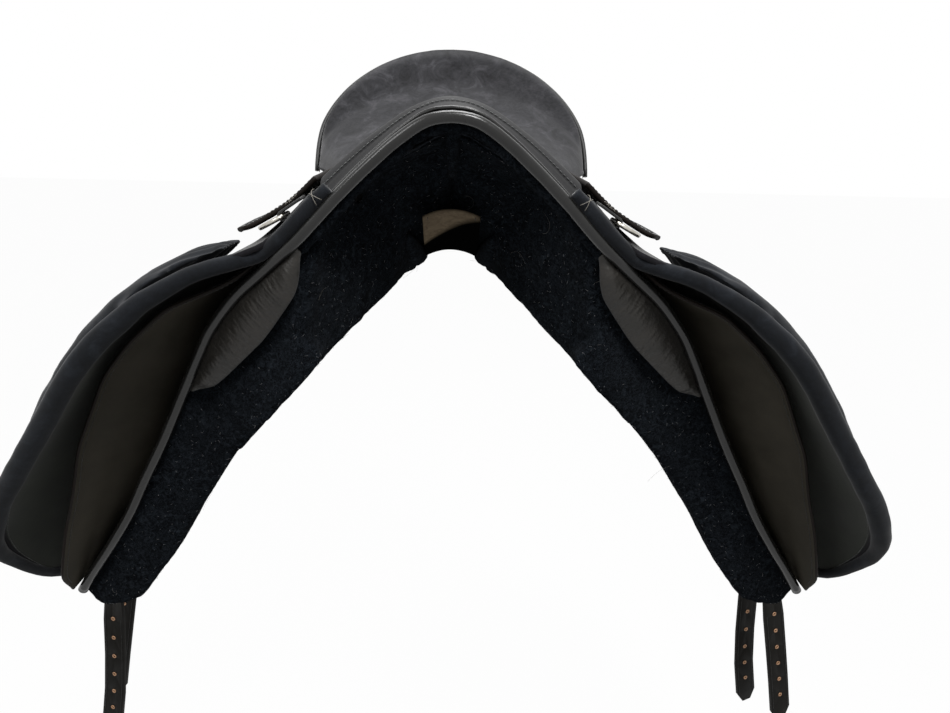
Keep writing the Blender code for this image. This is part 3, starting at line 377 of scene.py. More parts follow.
def make_leather_with_painted_shadow(name, base, light, dyed):
    """Undyed leather whose rear part is painted black as a painted shadow; the painted shadow ends along a
    slanted, soft line.
    """
    made, tree, shader, place = started(name, Roughness=0.85, Specular_IOR_Level=0.0)
    grain = noise_at(tree, place, 1.2, 4.0, 0.7)
    creases = noise_at(tree, place, 9.0, 4.0, 0.6, 1.8)
    split = add_node(tree, "ShaderNodeSeparateXYZ", [("Vector", place)])
    slanted = add_node(tree, "ShaderNodeMath", [(0, split.outputs["X"])], operation="MULTIPLY")
    slanted.inputs[1].default_value = SHADOW_SLANT
    line = add_node(tree, "ShaderNodeMath", [(0, slanted.outputs[0]), (1, split.outputs["Y"])],
                    operation="ADD")
    # behind is the painted shadow's mask: one past the slanted line, where the strip takes the black shadow
    # colour given as dyed
    behind = ranged(tree, line.outputs[0], 0.0, 1.0, SHADOW_LINE_Y - 0.004, SHADOW_LINE_Y + 0.004)
    tree.links.new(mixed(tree, behind, ramp(tree, creases, [(0.3, base), (0.7, light)]),
                         ramp(tree, creases, [(0.0, dyed), (1.0, dyed)])), shader.inputs["Base Color"])
    bumped(tree, shader, [(creases, 0.7, 0.4), (grain, 0.12, 0.4)])
    return made


def make_pebbled_leather(name, base, light):
    """Soft drum-dyed leather with a raised pebble grain and stretched wrinkles."""
    made, tree, shader, place = started(name, Coat_Weight=0.03, Coat_Roughness=0.35, Roughness=0.42,
                                         Specular_IOR_Level=0.35)
    pebble = cells_at(tree, place, 1.7, "SMOOTH_F1")
    warped = noise_at(tree, place, 9.0, 4.0, 0.6, 2.2)
    patches = noise_at(tree, place, 24.0, 3.0)
    tree.links.new(ramp(tree, patches, [(0.30, base), (0.75, light)]), shader.inputs["Base Color"])
    tree.links.new(ranged(tree, pebble, 0.34, 0.52, 0.1, 0.6), shader.inputs["Roughness"])
    bumped(tree, shader, [(warped, 1.2, 0.45), (pebble, 0.35, 0.55)])
    return made


def make_nubuck(name, base, light, worn):
    """Sanded leather: a short nap that takes light and dark smudges from the hand."""
    made, tree, shader, place = started(name, Roughness=0.92, Sheen_Weight=0.18, Sheen_Roughness=0.45,
                                         Specular_IOR_Level=0.2)
    smudges = noise_at(tree, place, 24.0, 6.0, 0.72, 0.8)
    broad = noise_at(tree, place, 70.0, 3.0, 0.5)
    nap = noise_at(tree, place, 0.8, 3.0, 0.7)
    grain = noise_at(tree, place, 3.4, 3.0, 0.6)
    cloudy = ramp(tree, smudges, [(0.36, base), (0.52, light), (0.66, worn)])
    darker = ramp(tree, grain, [(0.35, base), (0.72, light)])
    tree.links.new(mixed(tree, ranged(tree, broad, 0.15, 0.65), cloudy, darker),
                   shader.inputs["Base Color"])
    bumped(tree, shader, [(grain, 0.18, 0.35), (nap, 0.12, 0.5)])
    return made


def make_felt(name, base, light):
    """Pressed wool felt: matted fibres, flattened and fluffed patches."""
    made, tree, shader, place = started(name, Roughness=1.0, Sheen_Weight=0.02, Sheen_Roughness=0.6,
                                         Specular_IOR_Level=0.0)
    fibres = noise_at(tree, place, 2.2, 6.0, 0.78, 3.5)
    mats = noise_at(tree, place, 22.0, 4.0, 0.6, 0.6)
    tufts = noise_at(tree, place, 6.0, 4.0, 0.65, 1.5)
    body = ramp(tree, fibres, [(0.46, base), (0.64, light)])
    worn = ramp(tree, tufts, [(0.46, base), (0.70, light)])
    tree.links.new(mixed(tree, ranged(tree, mats, 0.1, 0.7), body, worn), shader.inputs["Base Color"])
    bumped(tree, shader, [(tufts, 0.9, 0.4), (fibres, 0.5, 0.7)])
    return made


def make_lining(name, base, light, dusty):
    """Thin split-leather lining, dusty from use."""
    made, tree, shader, place = started(name, Roughness=0.80, Sheen_Weight=0.10)
    dust = noise_at(tree, place, 60.0, 5.0, 0.62)
    grain = noise_at(tree, place, 1.3, 4.0, 0.7)
    marks = noise_at(tree, place, 14.0, 4.0, 0.6, 1.8)
    tree.links.new(ramp(tree, dust, [(0.32, base), (0.60, light), (0.82, dusty)]),
                   shader.inputs["Base Color"])
    bumped(tree, shader, [(marks, 0.5, 0.3), (grain, 0.15, 0.45)])
    return made


def make_metal(name, colour, roughness, scratch_mm=1.4):
    """Plated or forged metal with fine wear."""
    made, tree, shader, place = started(name, Metallic=1.0)
    wear = noise_at(tree, place, 7.0, 5.0, 0.6)
    scratches = noise_at(tree, place, scratch_mm, 3.0, 0.6, 1.0)
    tree.links.new(ramp(tree, wear, [(0.25, colour[0]), (0.75, colour[1])]), shader.inputs["Base Color"])
    tree.links.new(ranged(tree, wear, roughness - 0.06, roughness + 0.12), shader.inputs["Roughness"])
    bumped(tree, shader, [(scratches, 0.03, 0.25)])
    return made


def make_wood(name):
    """Laminated beech under black lacquer, its glue lines just seen."""
    made, tree, shader, place = started(name, Roughness=0.6)
    layers = add_node(tree, "ShaderNodeTexWave", [("Vector", place)], Scale=120.0, Distortion=2.0,
                      Detail=3.0, bands_direction="Z").outputs["Fac"]
    pores = noise_at(tree, place, 1.2, 3.0, 0.6, 0.5)
    tree.links.new(ramp(tree, layers, [(0.2, "#100e0c"), (0.8, "#1b1815")]), shader.inputs["Base Color"])
    bumped(tree, shader, [(pores, 0.08, 0.4)])
    return made


def make_weave(name, base, light, pitch_mm=1.1):
    """Flat woven tape with crossing yarns."""
    made, tree, shader, place = started(name, Roughness=0.85, Sheen_Weight=0.2)
    across = add_node(tree, "ShaderNodeTexWave", [("Vector", place)], Scale=1000.0 / pitch_mm / 6.283,
                      bands_direction="X").outputs["Fac"]
    down = add_node(tree, "ShaderNodeTexWave", [("Vector", place)], Scale=1000.0 / pitch_mm / 6.283,
                    bands_direction="Z").outputs["Fac"]
    yarns = add_node(tree, "ShaderNodeMath", operation="MULTIPLY")
    tree.links.new(across, yarns.inputs[0])
    tree.links.new(down, yarns.inputs[1])
    tree.links.new(ramp(tree, yarns.outputs[0], [(0.1, base), (0.7, light)]), shader.inputs["Base Color"])
    bumped(tree, shader, [(yarns.outputs[0], 0.2, 0.6)])
    return made


def make_foam(name):
    made, tree, shader, place = started(name, Roughness=0.95)
    cells = cells_at(tree, place, 0.9)
    stain = noise_at(tree, place, 35.0, 3.0)
    tree.links.new(ramp(tree, stain, [(0.3, "#1c1c1d"), (0.7, "#2a2a2b")]), shader.inputs["Base Color"])
    bumped(tree, shader, [(cells, 0.3, 0.6)])
    return made


def make_thread(name, base, light):
    """Waxed linen thread with a visible twist."""
    made, tree, shader, place = started(name, Roughness=0.65)
    twist = add_node(tree, "ShaderNodeTexWave", [("Vector", place)], Scale=260.0,
                     bands_direction="DIAGONAL").outputs["Fac"]
    wax = noise_at(tree, place, 5.0, 3.0)
    tree.links.new(ramp(tree, wax, [(0.3, base), (0.7, light)]), shader.inputs["Base Color"])
    bumped(tree, shader, [(twist, 0.1, 0.5)])
    return made


def make_hair(name, base, light):
    made, tree, shader, place = started(name, Roughness=0.5)
    shade = noise_at(tree, place, 9.0, 2.0)
    tree.links.new(ramp(tree, shade, [(0.3, base), (0.7, light)]), shader.inputs["Base Color"])
    return made


# Each finish: its maker and what the maker is told
FINISHES = {
    "roll_leather": (make_smooth_leather, "glazed_calf_leather", "#1a1a19", "#282827", 0.22, 0.8, 0.22,
                     18.0, 0.28),
    "black_leather": (make_smooth_leather, "dyed_bridle_leather", "#161616", "#242423", 0.46, 1.0, 0.05,
                      30.0),
    "pommel_leather": (make_smooth_leather, "rubbed_seat_leather", "#121213", "#2a2a2b", 0.55, 0.9, 0.0,
                       9.0, 0.16),
    "sweat_leather": (make_smooth_leather, "drum_dyed_cowhide", "#35322b", "#46423a", 0.60, 1.2, 0.0, 34.0,
                      0.15),
    "billet_leather": (make_smooth_leather, "waxed_strap_leather", "#0d0c0a", "#181612", 0.62, 0.8, 0.0,
                       30.0, 0.12),
    # Channel strip: brown leather colours, then the black of its painted shadow past a slanted line
    "brown_leather": (make_leather_with_painted_shadow, "half_dyed_strap_leather", "#7a6b59", "#998a73", "#0a0a0a"),
    # Dark cut edge of the skirts; on the sweat flaps' edges the same dark colour is painted shade over the
    # light their rounded edges catch
    "skirt_edge": (make_smooth_leather, "waxed_cut_edge_leather", "#110e0c", "#1d1713", 0.6, 0.7, 0.0, 12.0,
                   0.12),
    "pebbled_leather": (make_pebbled_leather, "pebbled_drum_dyed_leather", "#1a1916", "#2d2a26"),
    "seat_nubuck": (make_nubuck, "sanded_charcoal_nubuck", "#1d1d1f", "#343437", "#4f4e52"),
    "binding_suede": (make_nubuck, "blue_black_suede", "#101215", "#1a1d22", "#2a2e34"),
    "border_nubuck": (make_nubuck, "folded_border_nubuck", "#100f12", "#19181c", "#242328"),
    "felt": (make_felt, "pressed_wool_felt", "#040507", "#394048"),
    "lining": (make_lining, "dusty_split_lining", "#1b1d19", "#272a23", "#373a31"),
    "nickel": (make_metal, "nickel_plated_wire", ("#a8a49a", "#cfccc4"), 0.24),
    "steel": (make_metal, "forged_bar_steel", ("#6f7072", "#8d8e90"), 0.38),
    "copper": (make_metal, "rubbed_hole_edge", ("#8a6a50", "#b08d72"), 0.45),
    "wood": (make_wood, "lacquered_laminated_beech"),
    "foam": (make_foam, "charcoal_seat_foam"),
    "webbing": (make_weave, "linen_tree_web", "#8d8572", "#b5ad98"),
    "dark_webbing": (make_weave, "black_girth_web", "#131313", "#242424"),
    "black_thread": (make_thread, "waxed_black_thread", "#1c1c1c", "#303030"),
    "grey_thread": (make_thread, "rubbed_grey_thread", "#4a4b4b", "#6e706f"),
    "pale_thread": (make_thread, "waxed_linen_thread", "#6f6b64", "#9a958b"),
    "hair": (make_hair, "horse_hair", "#55524e", "#8f8b85"),
    "lint": (make_hair, "white_lint", "#66676a", "#a4a5a8"),
}
MATERIALS = {}


def finish_of(name):
    """Each material is made once, on its first use."""
    if name not in MATERIALS:
        maker, *told = FINISHES[name]
        MATERIALS[name] = maker(*told)
    return MATERIALS[name]


def painted(mesh, finish):
    """Leaves a mesh with one finish."""
    mesh.materials.clear()
    mesh.materials.append(finish_of(finish))


# Mesh building

def put(mesh, finishes, body="saddle_body", replaced=()):
    """Links a finished mesh as an object of its name, gives it materials and hangs it on its CAD body."""
    for finish in finishes:
        mesh.materials.append(finish_of(finish))
    made = bpy.data.objects.new(mesh.name, mesh)
    bpy.context.scene.collection.objects.link(made)
    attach(made, body)
    if replaced:
        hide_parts(*replaced)
    return made


def mesh_from(name, points, faces, indices=None):
    mesh = bpy.data.meshes.new(name)
    mesh.from_pydata([tuple(p) for p in points], [], faces)
    if indices:
        mesh.polygons.foreach_set("material_index", indices)
    mesh.update()
    mesh.shade_smooth()
    return mesh


def facing_out(points, faces):
    volume = 0.0
    for face in faces:
        a = points[face[0]]
        for b, c in zip(face[1:], face[2:]):
            volume += a.dot(points[b].cross(points[c]))
    return volume > 0.0


def sheet_mesh(name, lower, upper, edge_rows=2, paint=None):
    """A closed sheet between two grids with a rounded edge.

    paint gives the material of a face from its row, its column and whether it is on the upper grid.
    """
    rows = len(lower)
    columns = len(lower[0])
    points = [p for row in lower for p in row] + [p for row in upper for p in row]
    top = rows * columns
    faces = []
    kinds = []
    for i in range(rows - 1):
        for j in range(columns - 1):
            a = i * columns + j
            b, c, d = a + 1, a + columns + 1, a + columns
            faces.append((a, b, c, d))
            kinds.append(paint(i, j, False) if paint else 0)
            faces.append((a + top, d + top, c + top, b + top))
            kinds.append(paint(i, j, True) if paint else 0)
    rim = [(i, 0) for i in range(rows)] + [(rows - 1, j) for j in range(1, columns)]
    rim += [(i, columns - 1) for i in range(rows - 2, -1, -1)] + [(0, j) for j in range(columns - 2, 0, -1)]
    centre = sum(points, Vector()) / len(points)
    ring_low = [i * columns + j for i, j in rim]
    ring_high = [k + top for k in ring_low]
    rings = [ring_low]
    for step in range(edge_rows):
        share = (step + 1) / (edge_rows + 1)
        bulge = math.sin(math.pi * share)
        ring = []
        for low, high in zip(ring_low, ring_high):
            thickness = (points[high] - points[low]).length
            middle = points[low].lerp(points[high], share)
            axis = (points[high] - points[low]).normalized()
            away = middle - centre
            away -= axis * away.dot(axis)
            ring.append(len(points))
            points.append(middle + away.normalized() * thickness * 0.30 * bulge)
        rings.append(ring)
    rings.append(ring_high)
    count = len(rim)
    for low, high in zip(rings, rings[1:]):
        for k in range(count):
            n = (k + 1) % count
            faces.append((low[k], low[n], high[n], high[k]))
            kinds.append(paint(None, None, True) if paint else 0)
    if not facing_out(points, faces):
        faces = [tuple(reversed(f)) for f in faces]
    return mesh_from(name, points, faces, kinds)


def frames_along(path):
    """Tangent, side and up vectors along a path, turned as little as possible."""
    count = len(path)
    tangents = []
    for k in range(count):
        tangents.append((path[min(k + 1, count - 1)] - path[max(k - 1, 0)]).normalized())
    up = Vector((0.0, 0.0, 1.0)) if abs(tangents[0].z) < 0.9 else Vector((0.0, 1.0, 0.0))
    found = []
    for t in tangents:
        side = t.cross(up).normalized()
        up = side.cross(t).normalized()
        found.append((t, side, up))
    return found


def tube_mesh(name, path, radius, around=14, waver=0.0, seed=1):
    """A round cord; radius may be a number or a function of the share along the path."""
    points = []
    faces = []
    basis = frames_along(path)
    for k, (place, (_, side, up)) in enumerate(zip(path, basis)):
        share = k / (len(path) - 1)
        size = radius(share) if callable(radius) else radius
        for j in range(around):
            angle = 2.0 * math.pi * j / around
            out = side * math.cos(angle) + up * math.sin(angle)
            lumps = 1.0 + waver * wobble(place + out * size, 14.0, seed)
            points.append(place + out * size * lumps)
    count = len(path)
    for k in range(count - 1):
        for j in range(around):
            a, b = k * around + j, k * around + (j + 1) % around
            faces.append((a, b, b + around, a + around))
    faces.append(tuple(reversed(range(around))))
    faces.append(tuple(range((count - 1) * around, count * around)))
    if not facing_out(points, faces):
        faces = [tuple(reversed(f)) for f in faces]
    return mesh_from(name, points, faces)


def joined_tubes(name, paths, radius, around=5):
    """Many thin cords as one mesh, such as stitches or hairs."""
    points = []
    faces = []
    for path in paths:
        start = len(points)
        for place, (_, side, up) in zip(path, frames_along(path)):
            for j in range(around):
                angle = 2.0 * math.pi * j / around
                points.append(place + (side * math.cos(angle) + up * math.sin(angle)) * radius)
        for k in range(len(path) - 1):
            for j in range(around):
                a, b = start + k * around + j, start + k * around + (j + 1) % around
                faces.append((a, b, b + around, a + around))
        faces.append(tuple(start + j for j in reversed(range(around))))
        faces.append(tuple(start + (len(path) - 1) * around + j for j in range(around)))
    return mesh_from(name, points, faces)


def resampled(path, spacing):
    """Points an even distance apart along a path."""
    found = [path[0]]
    left = spacing
    for a, b in zip(path, path[1:]):
        length = (b - a).length
        done = 0.0
        while length - done >= left:
            done += left
            found.append(a.lerp(b, done / length))
            left = spacing
        left -= length - done
    return found


def stitch_paths(path, outward, length=0.0034, gap=0.0012, sink=0.0004):
    """Short arched stitches along a path; outward gives the face's direction at a point."""
    found = []
    places = resampled(path, length + gap)
    for a, b in zip(places, places[1:]):
        end = a.lerp(b, length / (length + gap))
        out = outward(a) if callable(outward) else outward
        found.append([a - out * sink, a.lerp(end, 0.25) + out * 0.0002, a.lerp(end, 0.75) + out * 0.0002,
                      end - out * sink])
    return found


def copied(node, name):
    """A welded copy of a CAD node's mesh in quads where it can be."""
    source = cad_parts[node]
    mesh = source.data.copy()
    mesh.name = name
    mesh.materials.clear()
    mesh.transform(source.matrix_world)
    work = bmesh.new()
    work.from_mesh(mesh)
    bmesh.ops.remove_doubles(work, verts=work.verts, dist=0.00002)
    bmesh.ops.join_triangles(work, faces=work.faces, angle_face_threshold=math.radians(35.0),
                             angle_shape_threshold=math.radians(60.0))
    work.to_mesh(mesh)
    work.free()
    return mesh


def applied(made, *modifiers):
    """Adds modifiers by type and settings and applies them in order."""
    for kind, settings in modifiers:
        change = made.modifiers.new(kind.lower(), kind)
        for key, value in settings.items():
            setattr(change, key, value)
    graph = bpy.context.evaluated_depsgraph_get()
    final = bpy.data.meshes.new_from_object(made.evaluated_get(graph))
    made.modifiers.clear()
    old = made.data
    made.data = final
    bpy.data.meshes.remove(old)
    made.data.shade_smooth()
    return made


def puffed(made, pressure, cap, hold=None):
    """Swells a soft piece with a short cloth simulation; no point moves further than the cap."""
    start = [v.co.copy() for v in made.data.vertices]
    pins = made.vertex_groups.new(name="held")
    for v in made.data.vertices:
        pins.add([v.index], hold(v.co) if hold else 0.0, "REPLACE")
    change = made.modifiers.new("cloth", "CLOTH")
    settings = change.settings
    settings.use_pressure = True
    settings.uniform_pressure_force = pressure
    settings.effector_weights.gravity = 0.0
    settings.vertex_group_mass = "held"
    settings.quality = 4
    change.collision_settings.use_collision = False
    for number in range(1, 21):
        bpy.context.scene.frame_set(number)
    graph = bpy.context.evaluated_depsgraph_get()
    final = bpy.data.meshes.new_from_object(made.evaluated_get(graph))
    made.modifiers.clear()
    made.vertex_groups.clear()
    made.data = final
    for v, before in zip(made.data.vertices, start):
        move = v.co - before
        if move.length > cap:
            v.co = before + move.normalized() * cap
    bpy.context.scene.frame_set(1)
    made.data.shade_smooth()
    return made


# Pieces

def outward_at(side):
    return Vector((side * math.cos(SLOPE), 0.0, math.sin(SLOPE)))


def build_seat():
    """Seat leather with its two long seams, the rim welt and the wall of the cantle."""
    us = [math.sin(u * math.pi / 2) for u in steps(73, -1.0, 1.0)]
    ts = steps(61)

    def point(u, t, drop):
        place = seat_point(u, t, drop)
        seam = 0.0
        for centre in (-SEAT_SEAM_U, SEAT_SEAM_U):
            seam -= 0.0012 * math.exp(-(((u - centre) / 0.018) ** 2)) * smooth((SEAT_SEAM_END - t) / 0.1)
        place.z += seam + 0.0008 * wobble(place, 38.0, 2) + 0.0004 * wobble(place, 13.0, 3)
        return place

    lower = [[seat_point(u, t, SEAT_LEATHER) for u in us] for t in ts]
    upper = [[point(u, t, 0.0) for u in us] for t in ts]
    put(sheet_mesh("seat_leather", lower, upper), ["seat_nubuck"], replaced=["seat_cover"])
    stitches = []
    for sign in (-1, 1):
        for shift in (-0.022, 0.022):
            path = [seat_point(sign * (SEAT_SEAM_U + shift), t, -0.0003)
                    for t in steps(40, 0.03, SEAT_SEAM_END)]
            stitches += stitch_paths(path, Vector((0.0, 0.0, 1.0)), 0.0030, 0.0010)
    put(joined_tubes("seat_stitching", stitches, 0.00028), ["black_thread"])
    rim_us = [math.sin(u * math.pi / 2) for u in steps(97, -1.0, 1.0)]
    path = []
    for u in rim_us:
        out = Vector((u * 0.6, math.sqrt(max(0.0, 1.0 - u * u)), 0.0)).normalized()
        path.append(seat_point(u, 1.0, SEAT_LEATHER / 2) + out * 0.0032)
    put(tube_mesh("cantle_rim_welt", path, 0.0026, 14, waver=0.05), ["black_leather"],
        replaced=["cantle_welt"])
    levels = steps(15)
    wall_us = [math.sin(u * math.pi / 2) * 0.93 for u in steps(49, -1.0, 1.0)]

    def wall(u, v, inset):
        arch = math.sqrt(max(0.0, 1.0 - u * u))
        rim = seat_point(u, 1.0, 0.0)
        foot = placed(0.152 * u, SEAT_WIDEST + 0.106 * arch, -0.1055 - 0.0045 * arch)
        out = Vector((u * 1.1, arch + 0.05, 0.0)).normalized()
        sag = 0.004 * math.sin(math.pi * v)
        place = rim.lerp(foot, v) + out * (0.0015 - inset - sag) + Vector((0.0, 0.0, -0.008 * (1.0 - v)))
        return place + out * 0.0006 * wobble(place, 30.0, 4)

    inner = [[wall(u, v, 0.003) for u in wall_us] for v in levels]
    outer = [[wall(u, v, 0.0) for u in wall_us] for v in levels]
    put(sheet_mesh("cantle_wall", inner, outer), ["black_leather"], replaced=["cantle_back"])
    for name, level in (("cantle_wall_top_stitching", 0.10), ("cantle_wall_foot_stitching", 0.93)):
        line = [wall(u, level, -0.0003) for u in wall_us]
        put(joined_tubes(name, stitch_paths(line, Vector((0.0, 1.0, 0.0))), 0.0003), ["black_thread"])


def roll_path(side, count=110, start=0.0035, end=ROLL_END_S - ROLL_TUCK):
    path = []
    for s in steps(count, start, end):
        h = roll_height(s)
        path.append(on_slope(side, s, h, panel_front(slope_x(s, h)) - ROLL_RADIUS - 2 * GAP))
    return path


def build_pommel():
    """Front roll, thin welt, the rubbed leather band over the arch and its seam."""
    right = roll_path(1)
    left = roll_path(-1)
    path = list(reversed(left)) + right[1:]
    path[len(left) - 1].x = 0.0
    put(tube_mesh("front_roll_leather", path, ROLL_RADIUS, 22, waver=0.035),
        ["roll_leather"], replaced=["front_roll"])
    xs = steps(81, -0.088, 0.088)
    welt = [placed(x, 0.0030, arch_height(x, 0.0) + ROLL_RADIUS + 0.0016) for x in xs]
    put(tube_mesh("pommel_welt_leather", welt, 0.0017, 12, waver=0.05), ["roll_leather"],
        replaced=["pommel_welt"])
    cover_xs = steps(71, -0.103, 0.103)
    ys = steps(15, 0.0065, SEAT_START - GAP)

    def cover(x, y, drop):
        lift = mix(ROLL_RADIUS, 0.0, smooth(y / 0.045))
        spread = x * mix(0.90, 1.0, smooth(y / 0.045))
        place = placed(spread, y, arch_height(spread, y) + lift - drop)
        if drop <= 0.0:
            groove = 0.0009 * math.exp(-(((y - BAND_SEAM_Y) / 0.0016) ** 2))
            place.z += 0.0005 * wobble(place, 24.0, 6) - groove
        return place

    lower = [[cover(x, y, 0.004) for x in cover_xs] for y in ys]
    upper = [[cover(x, y, 0.0) for x in cover_xs] for y in ys]
    put(sheet_mesh("pommel_band", lower, upper), ["pommel_leather"], replaced=["pommel_cover"])
    seam = [cover(x, BAND_SEAM_Y + 0.0022, -0.0003) for x in cover_xs]
    stitches = stitch_paths(seam, Vector((0.0, -0.3, 1.0)).normalized(), 0.0030, 0.0009)
    put(joined_tubes("pommel_band_stitching", stitches, 0.00032), ["grey_thread"])


def build_channel():
    """Brown strip of leather along the ceiling of the gullet, with a painted shadow in black over its rear
    part.
    """
    xs = steps(17, -0.024, 0.024)
    ys = steps(80, 0.060, 0.448)

    def strip(x, y, drop):
        place = placed(x, y, along(CEILING, y) - drop - 0.006 * (x / 0.024) ** 2)
        place.z += 0.0004 * wobble(place, 16.0, 9)
        return place

    put(sheet_mesh("channel_strip", [[strip(x, y, 0.003) for x in xs] for y in ys],
                                    [[strip(x, y, 0.0) for x in xs] for y in ys]), ["brown_leather"],
        replaced=["channel_lining"])
    stitches = []
    for x in (-0.020, 0.020):
        stitches += stitch_paths([strip(x, y, 0.0032) for y in ys if y < STRIP_SEWN_TO],
                                 Vector((0.0, 0.0, -1.0)))
    put(joined_tubes("channel_stitching", stitches, 0.0003), ["black_thread"])
    head = [placed(0.0, y, z) for y,
            z in ((0.0045, -0.008), (0.0045, -0.014), (0.008, -0.022), (0.016, -0.031),
                                           (0.026, -0.041), (0.034, -0.048))]
    put(tube_mesh("gullet_seam_cover", head, lambda share: mix(0.0065, 0.0035, share), 14,
                                       waver=0.12), ["felt"])

    def corner_radius(share):
        if share >= 0.74:
            return 0.0005
        return 0.0005 + GULLET_CORNER_RADIUS * math.sin(math.pi * min(1.0, share * 1.35)) ** 0.7

    for side, word in SIDES:
        corner = [placed(side * GULLET_CORNER_X, y, along(CEILING, y) - GULLET_CORNER_DROP)
                  for y in steps(60, 0.085, 0.300)]
        put(tube_mesh("gullet_corner_" + word, corner, corner_radius, 16, waver=0.08, seed=25), ["felt"])


def build_panel(side, word):
    """Felt panel: the CAD pad swollen like stuffed felt, dented where it was quilted and worn."""
    mesh = copied("panel_" + word, "panel_felt_" + word)
    made = put(mesh, ["felt"], replaced=["panel_" + word])
    applied(made, ("REMESH", {"mode": "VOXEL", "voxel_size": 0.0055}))
    for v in made.data.vertices:
        v.co -= v.normal * 0.0012

    def held(place):
        behind = smooth((place.y + SEAT_LOW_FROM_FRONT - 0.02) / 0.03)
        return 1.0 - 0.75 * behind

    puffed(made, 3.0, 0.004, held)
    applied(made, ("SMOOTH", {"factor": 0.6, "iterations": 4}), ("SUBSURF", {"levels": 1}))
    normals = [v.normal.copy() for v in made.data.vertices]
    for v, normal in zip(made.data.vertices, normals):
        broad = 0.0018 * wobble(v.co, 55.0, 11)
        dents = -0.0022 * max(0.0, wobble(v.co, 26.0, 12) - 0.18)
        tufts = 0.0005 * wobble(v.co, 7.0, 13)
        v.co += normal * (broad + dents + tufts - 0.0004)
        inner = smooth((0.014 - abs(v.co.x)) / 0.012)
        v.co.x = side * max(-0.0003, abs(v.co.x) - 0.0040 * inner)
    painted(made.data, "felt")
    made.data.shade_smooth()
    build_fuzz(side, word, made)


def build_fuzz(side, word, felt):
    """White lint, loose hairs and fine fluff caught on the felt's horse side."""
    picker = random.Random(41 + side)
    faces = [f for f in felt.data.polygons if f.normal.x * side < 0.35 and f.normal.y < 0.5]
    lint = []
    hairs = []
    front = [f for f in faces if f.normal.y < -0.45]
    for number in range(900):
        face = picker.choice(front if number % 3 == 0 else faces)
        place = face.center + face.normal * 0.0003
        lean = Vector((picker.uniform(-1, 1), picker.uniform(-1, 1), picker.uniform(-1, 1)))
        lean = (lean - face.normal * lean.dot(face.normal) * 0.7).normalized()
        length = picker.uniform(0.0006, 0.0030)
        lint.append([place, place + lean * length * 0.5 + face.normal * 0.0003, place + lean * length])
    for _ in range(24):
        face = picker.choice(faces)
        place = face.center + face.normal * 0.0006
        normal = face.normal
        lean = normal.cross(Vector((picker.uniform(-1, 1), picker.uniform(-1, 1),
                                    picker.uniform(-1, 1)))).normalized()
        curl = picker.uniform(-0.35, 0.35)
        path = [place]
        length = picker.uniform(0.008, 0.028)
        for _ in range(12):
            lean = (Matrix.Rotation(curl + picker.uniform(-0.2, 0.2), 3, normal) @ lean).normalized()
            path.append(path[-1] + lean * length / 12 + normal * picker.uniform(-0.00008, 0.00025))
        hairs.append(path)
    put(joined_tubes("felt_lint_" + word, lint, 0.00008, 4), ["lint"])
    put(joined_tubes("felt_hairs_" + word, hairs, 0.00007, 4), ["hair"])


def build_felt_edge():
    """Torn edge of the felt where it is tucked behind the roll."""
    for side, word in SIDES:
        path = []
        for s in steps(150, 0.0035, 0.156):
            h = roll_height(s)
            place = on_slope(side, s, h, panel_front(slope_x(s, h)) + 0.0005)
            inward = Vector((0.0, 0.0, 1.0)).lerp(outward_at(side), smooth(s / 0.05)).normalized()
            ragged = 0.0011 * wobble(place, 5.0, 21) + 0.0008 * wobble(place, 2.2, 22)
            path.append(place - inward * (ROLL_RADIUS + 0.0022 + ragged))
        put(tube_mesh("felt_tuck_" + word, path, 0.0042, 11, waver=0.22, seed=23), ["felt"])


def build_facing(side, word):
    """Pebbled crescent, stretched over the front of the panel and piped along its inner edge."""
    rows = steps(230, 0.154, 0.322)
    columns = steps(19)

    def point(s, v, front):
        outer_h = roll_height(s) - ROLL_RADIUS
        tips = smooth((s - 0.154) / 0.02) * smooth((0.322 - s) / 0.02)
        opening = math.sqrt(smooth((s - 0.154) / 0.030))
        closing = math.sqrt(smooth((0.322 - s) / 0.024))
        width = mix(0.45, 1.0, opening) * mix(0.2, 1.0, closing)
        h = mix(outer_h, min(along(FACING_INNER, s), outer_h - 0.003), v * width)
        swell = 0.0052 * math.sin(math.pi * min(1.0, v * 0.92 + 0.05)) * tips
        y = panel_front(slope_x(s, h)) - 0.0020 - (0.0022 + swell if front else 0.0)
        place = on_slope(side, s, h, y)
        if front:
            crease = wobble(Vector((s + 0.12 * h, v * 0.012, 0.0)), 3.2, 31 + side)
            fine = wobble(Vector((s - 0.05 * h, v * 0.007, 0.0)), 1.9, 33 + side)
            place.y += tips * (0.00050 * crease + (0.00030 + 0.00035 * v) * fine)
        return place

    lower = [[point(s, v, False) for v in columns] for s in rows]
    upper = [[point(s, v, True) for v in columns] for s in rows]
    put(sheet_mesh("crescent_" + word, lower, upper), ["pebbled_leather"],
        replaced=["panel_facing_" + word])
    edge = [point(s, 1.0, True) + Vector((0.0, 0.0006, 0.0)) for s in rows[::3]]
    put(tube_mesh("crescent_seam_" + word, edge, 0.0006, 7, waver=0.1), ["black_thread"])


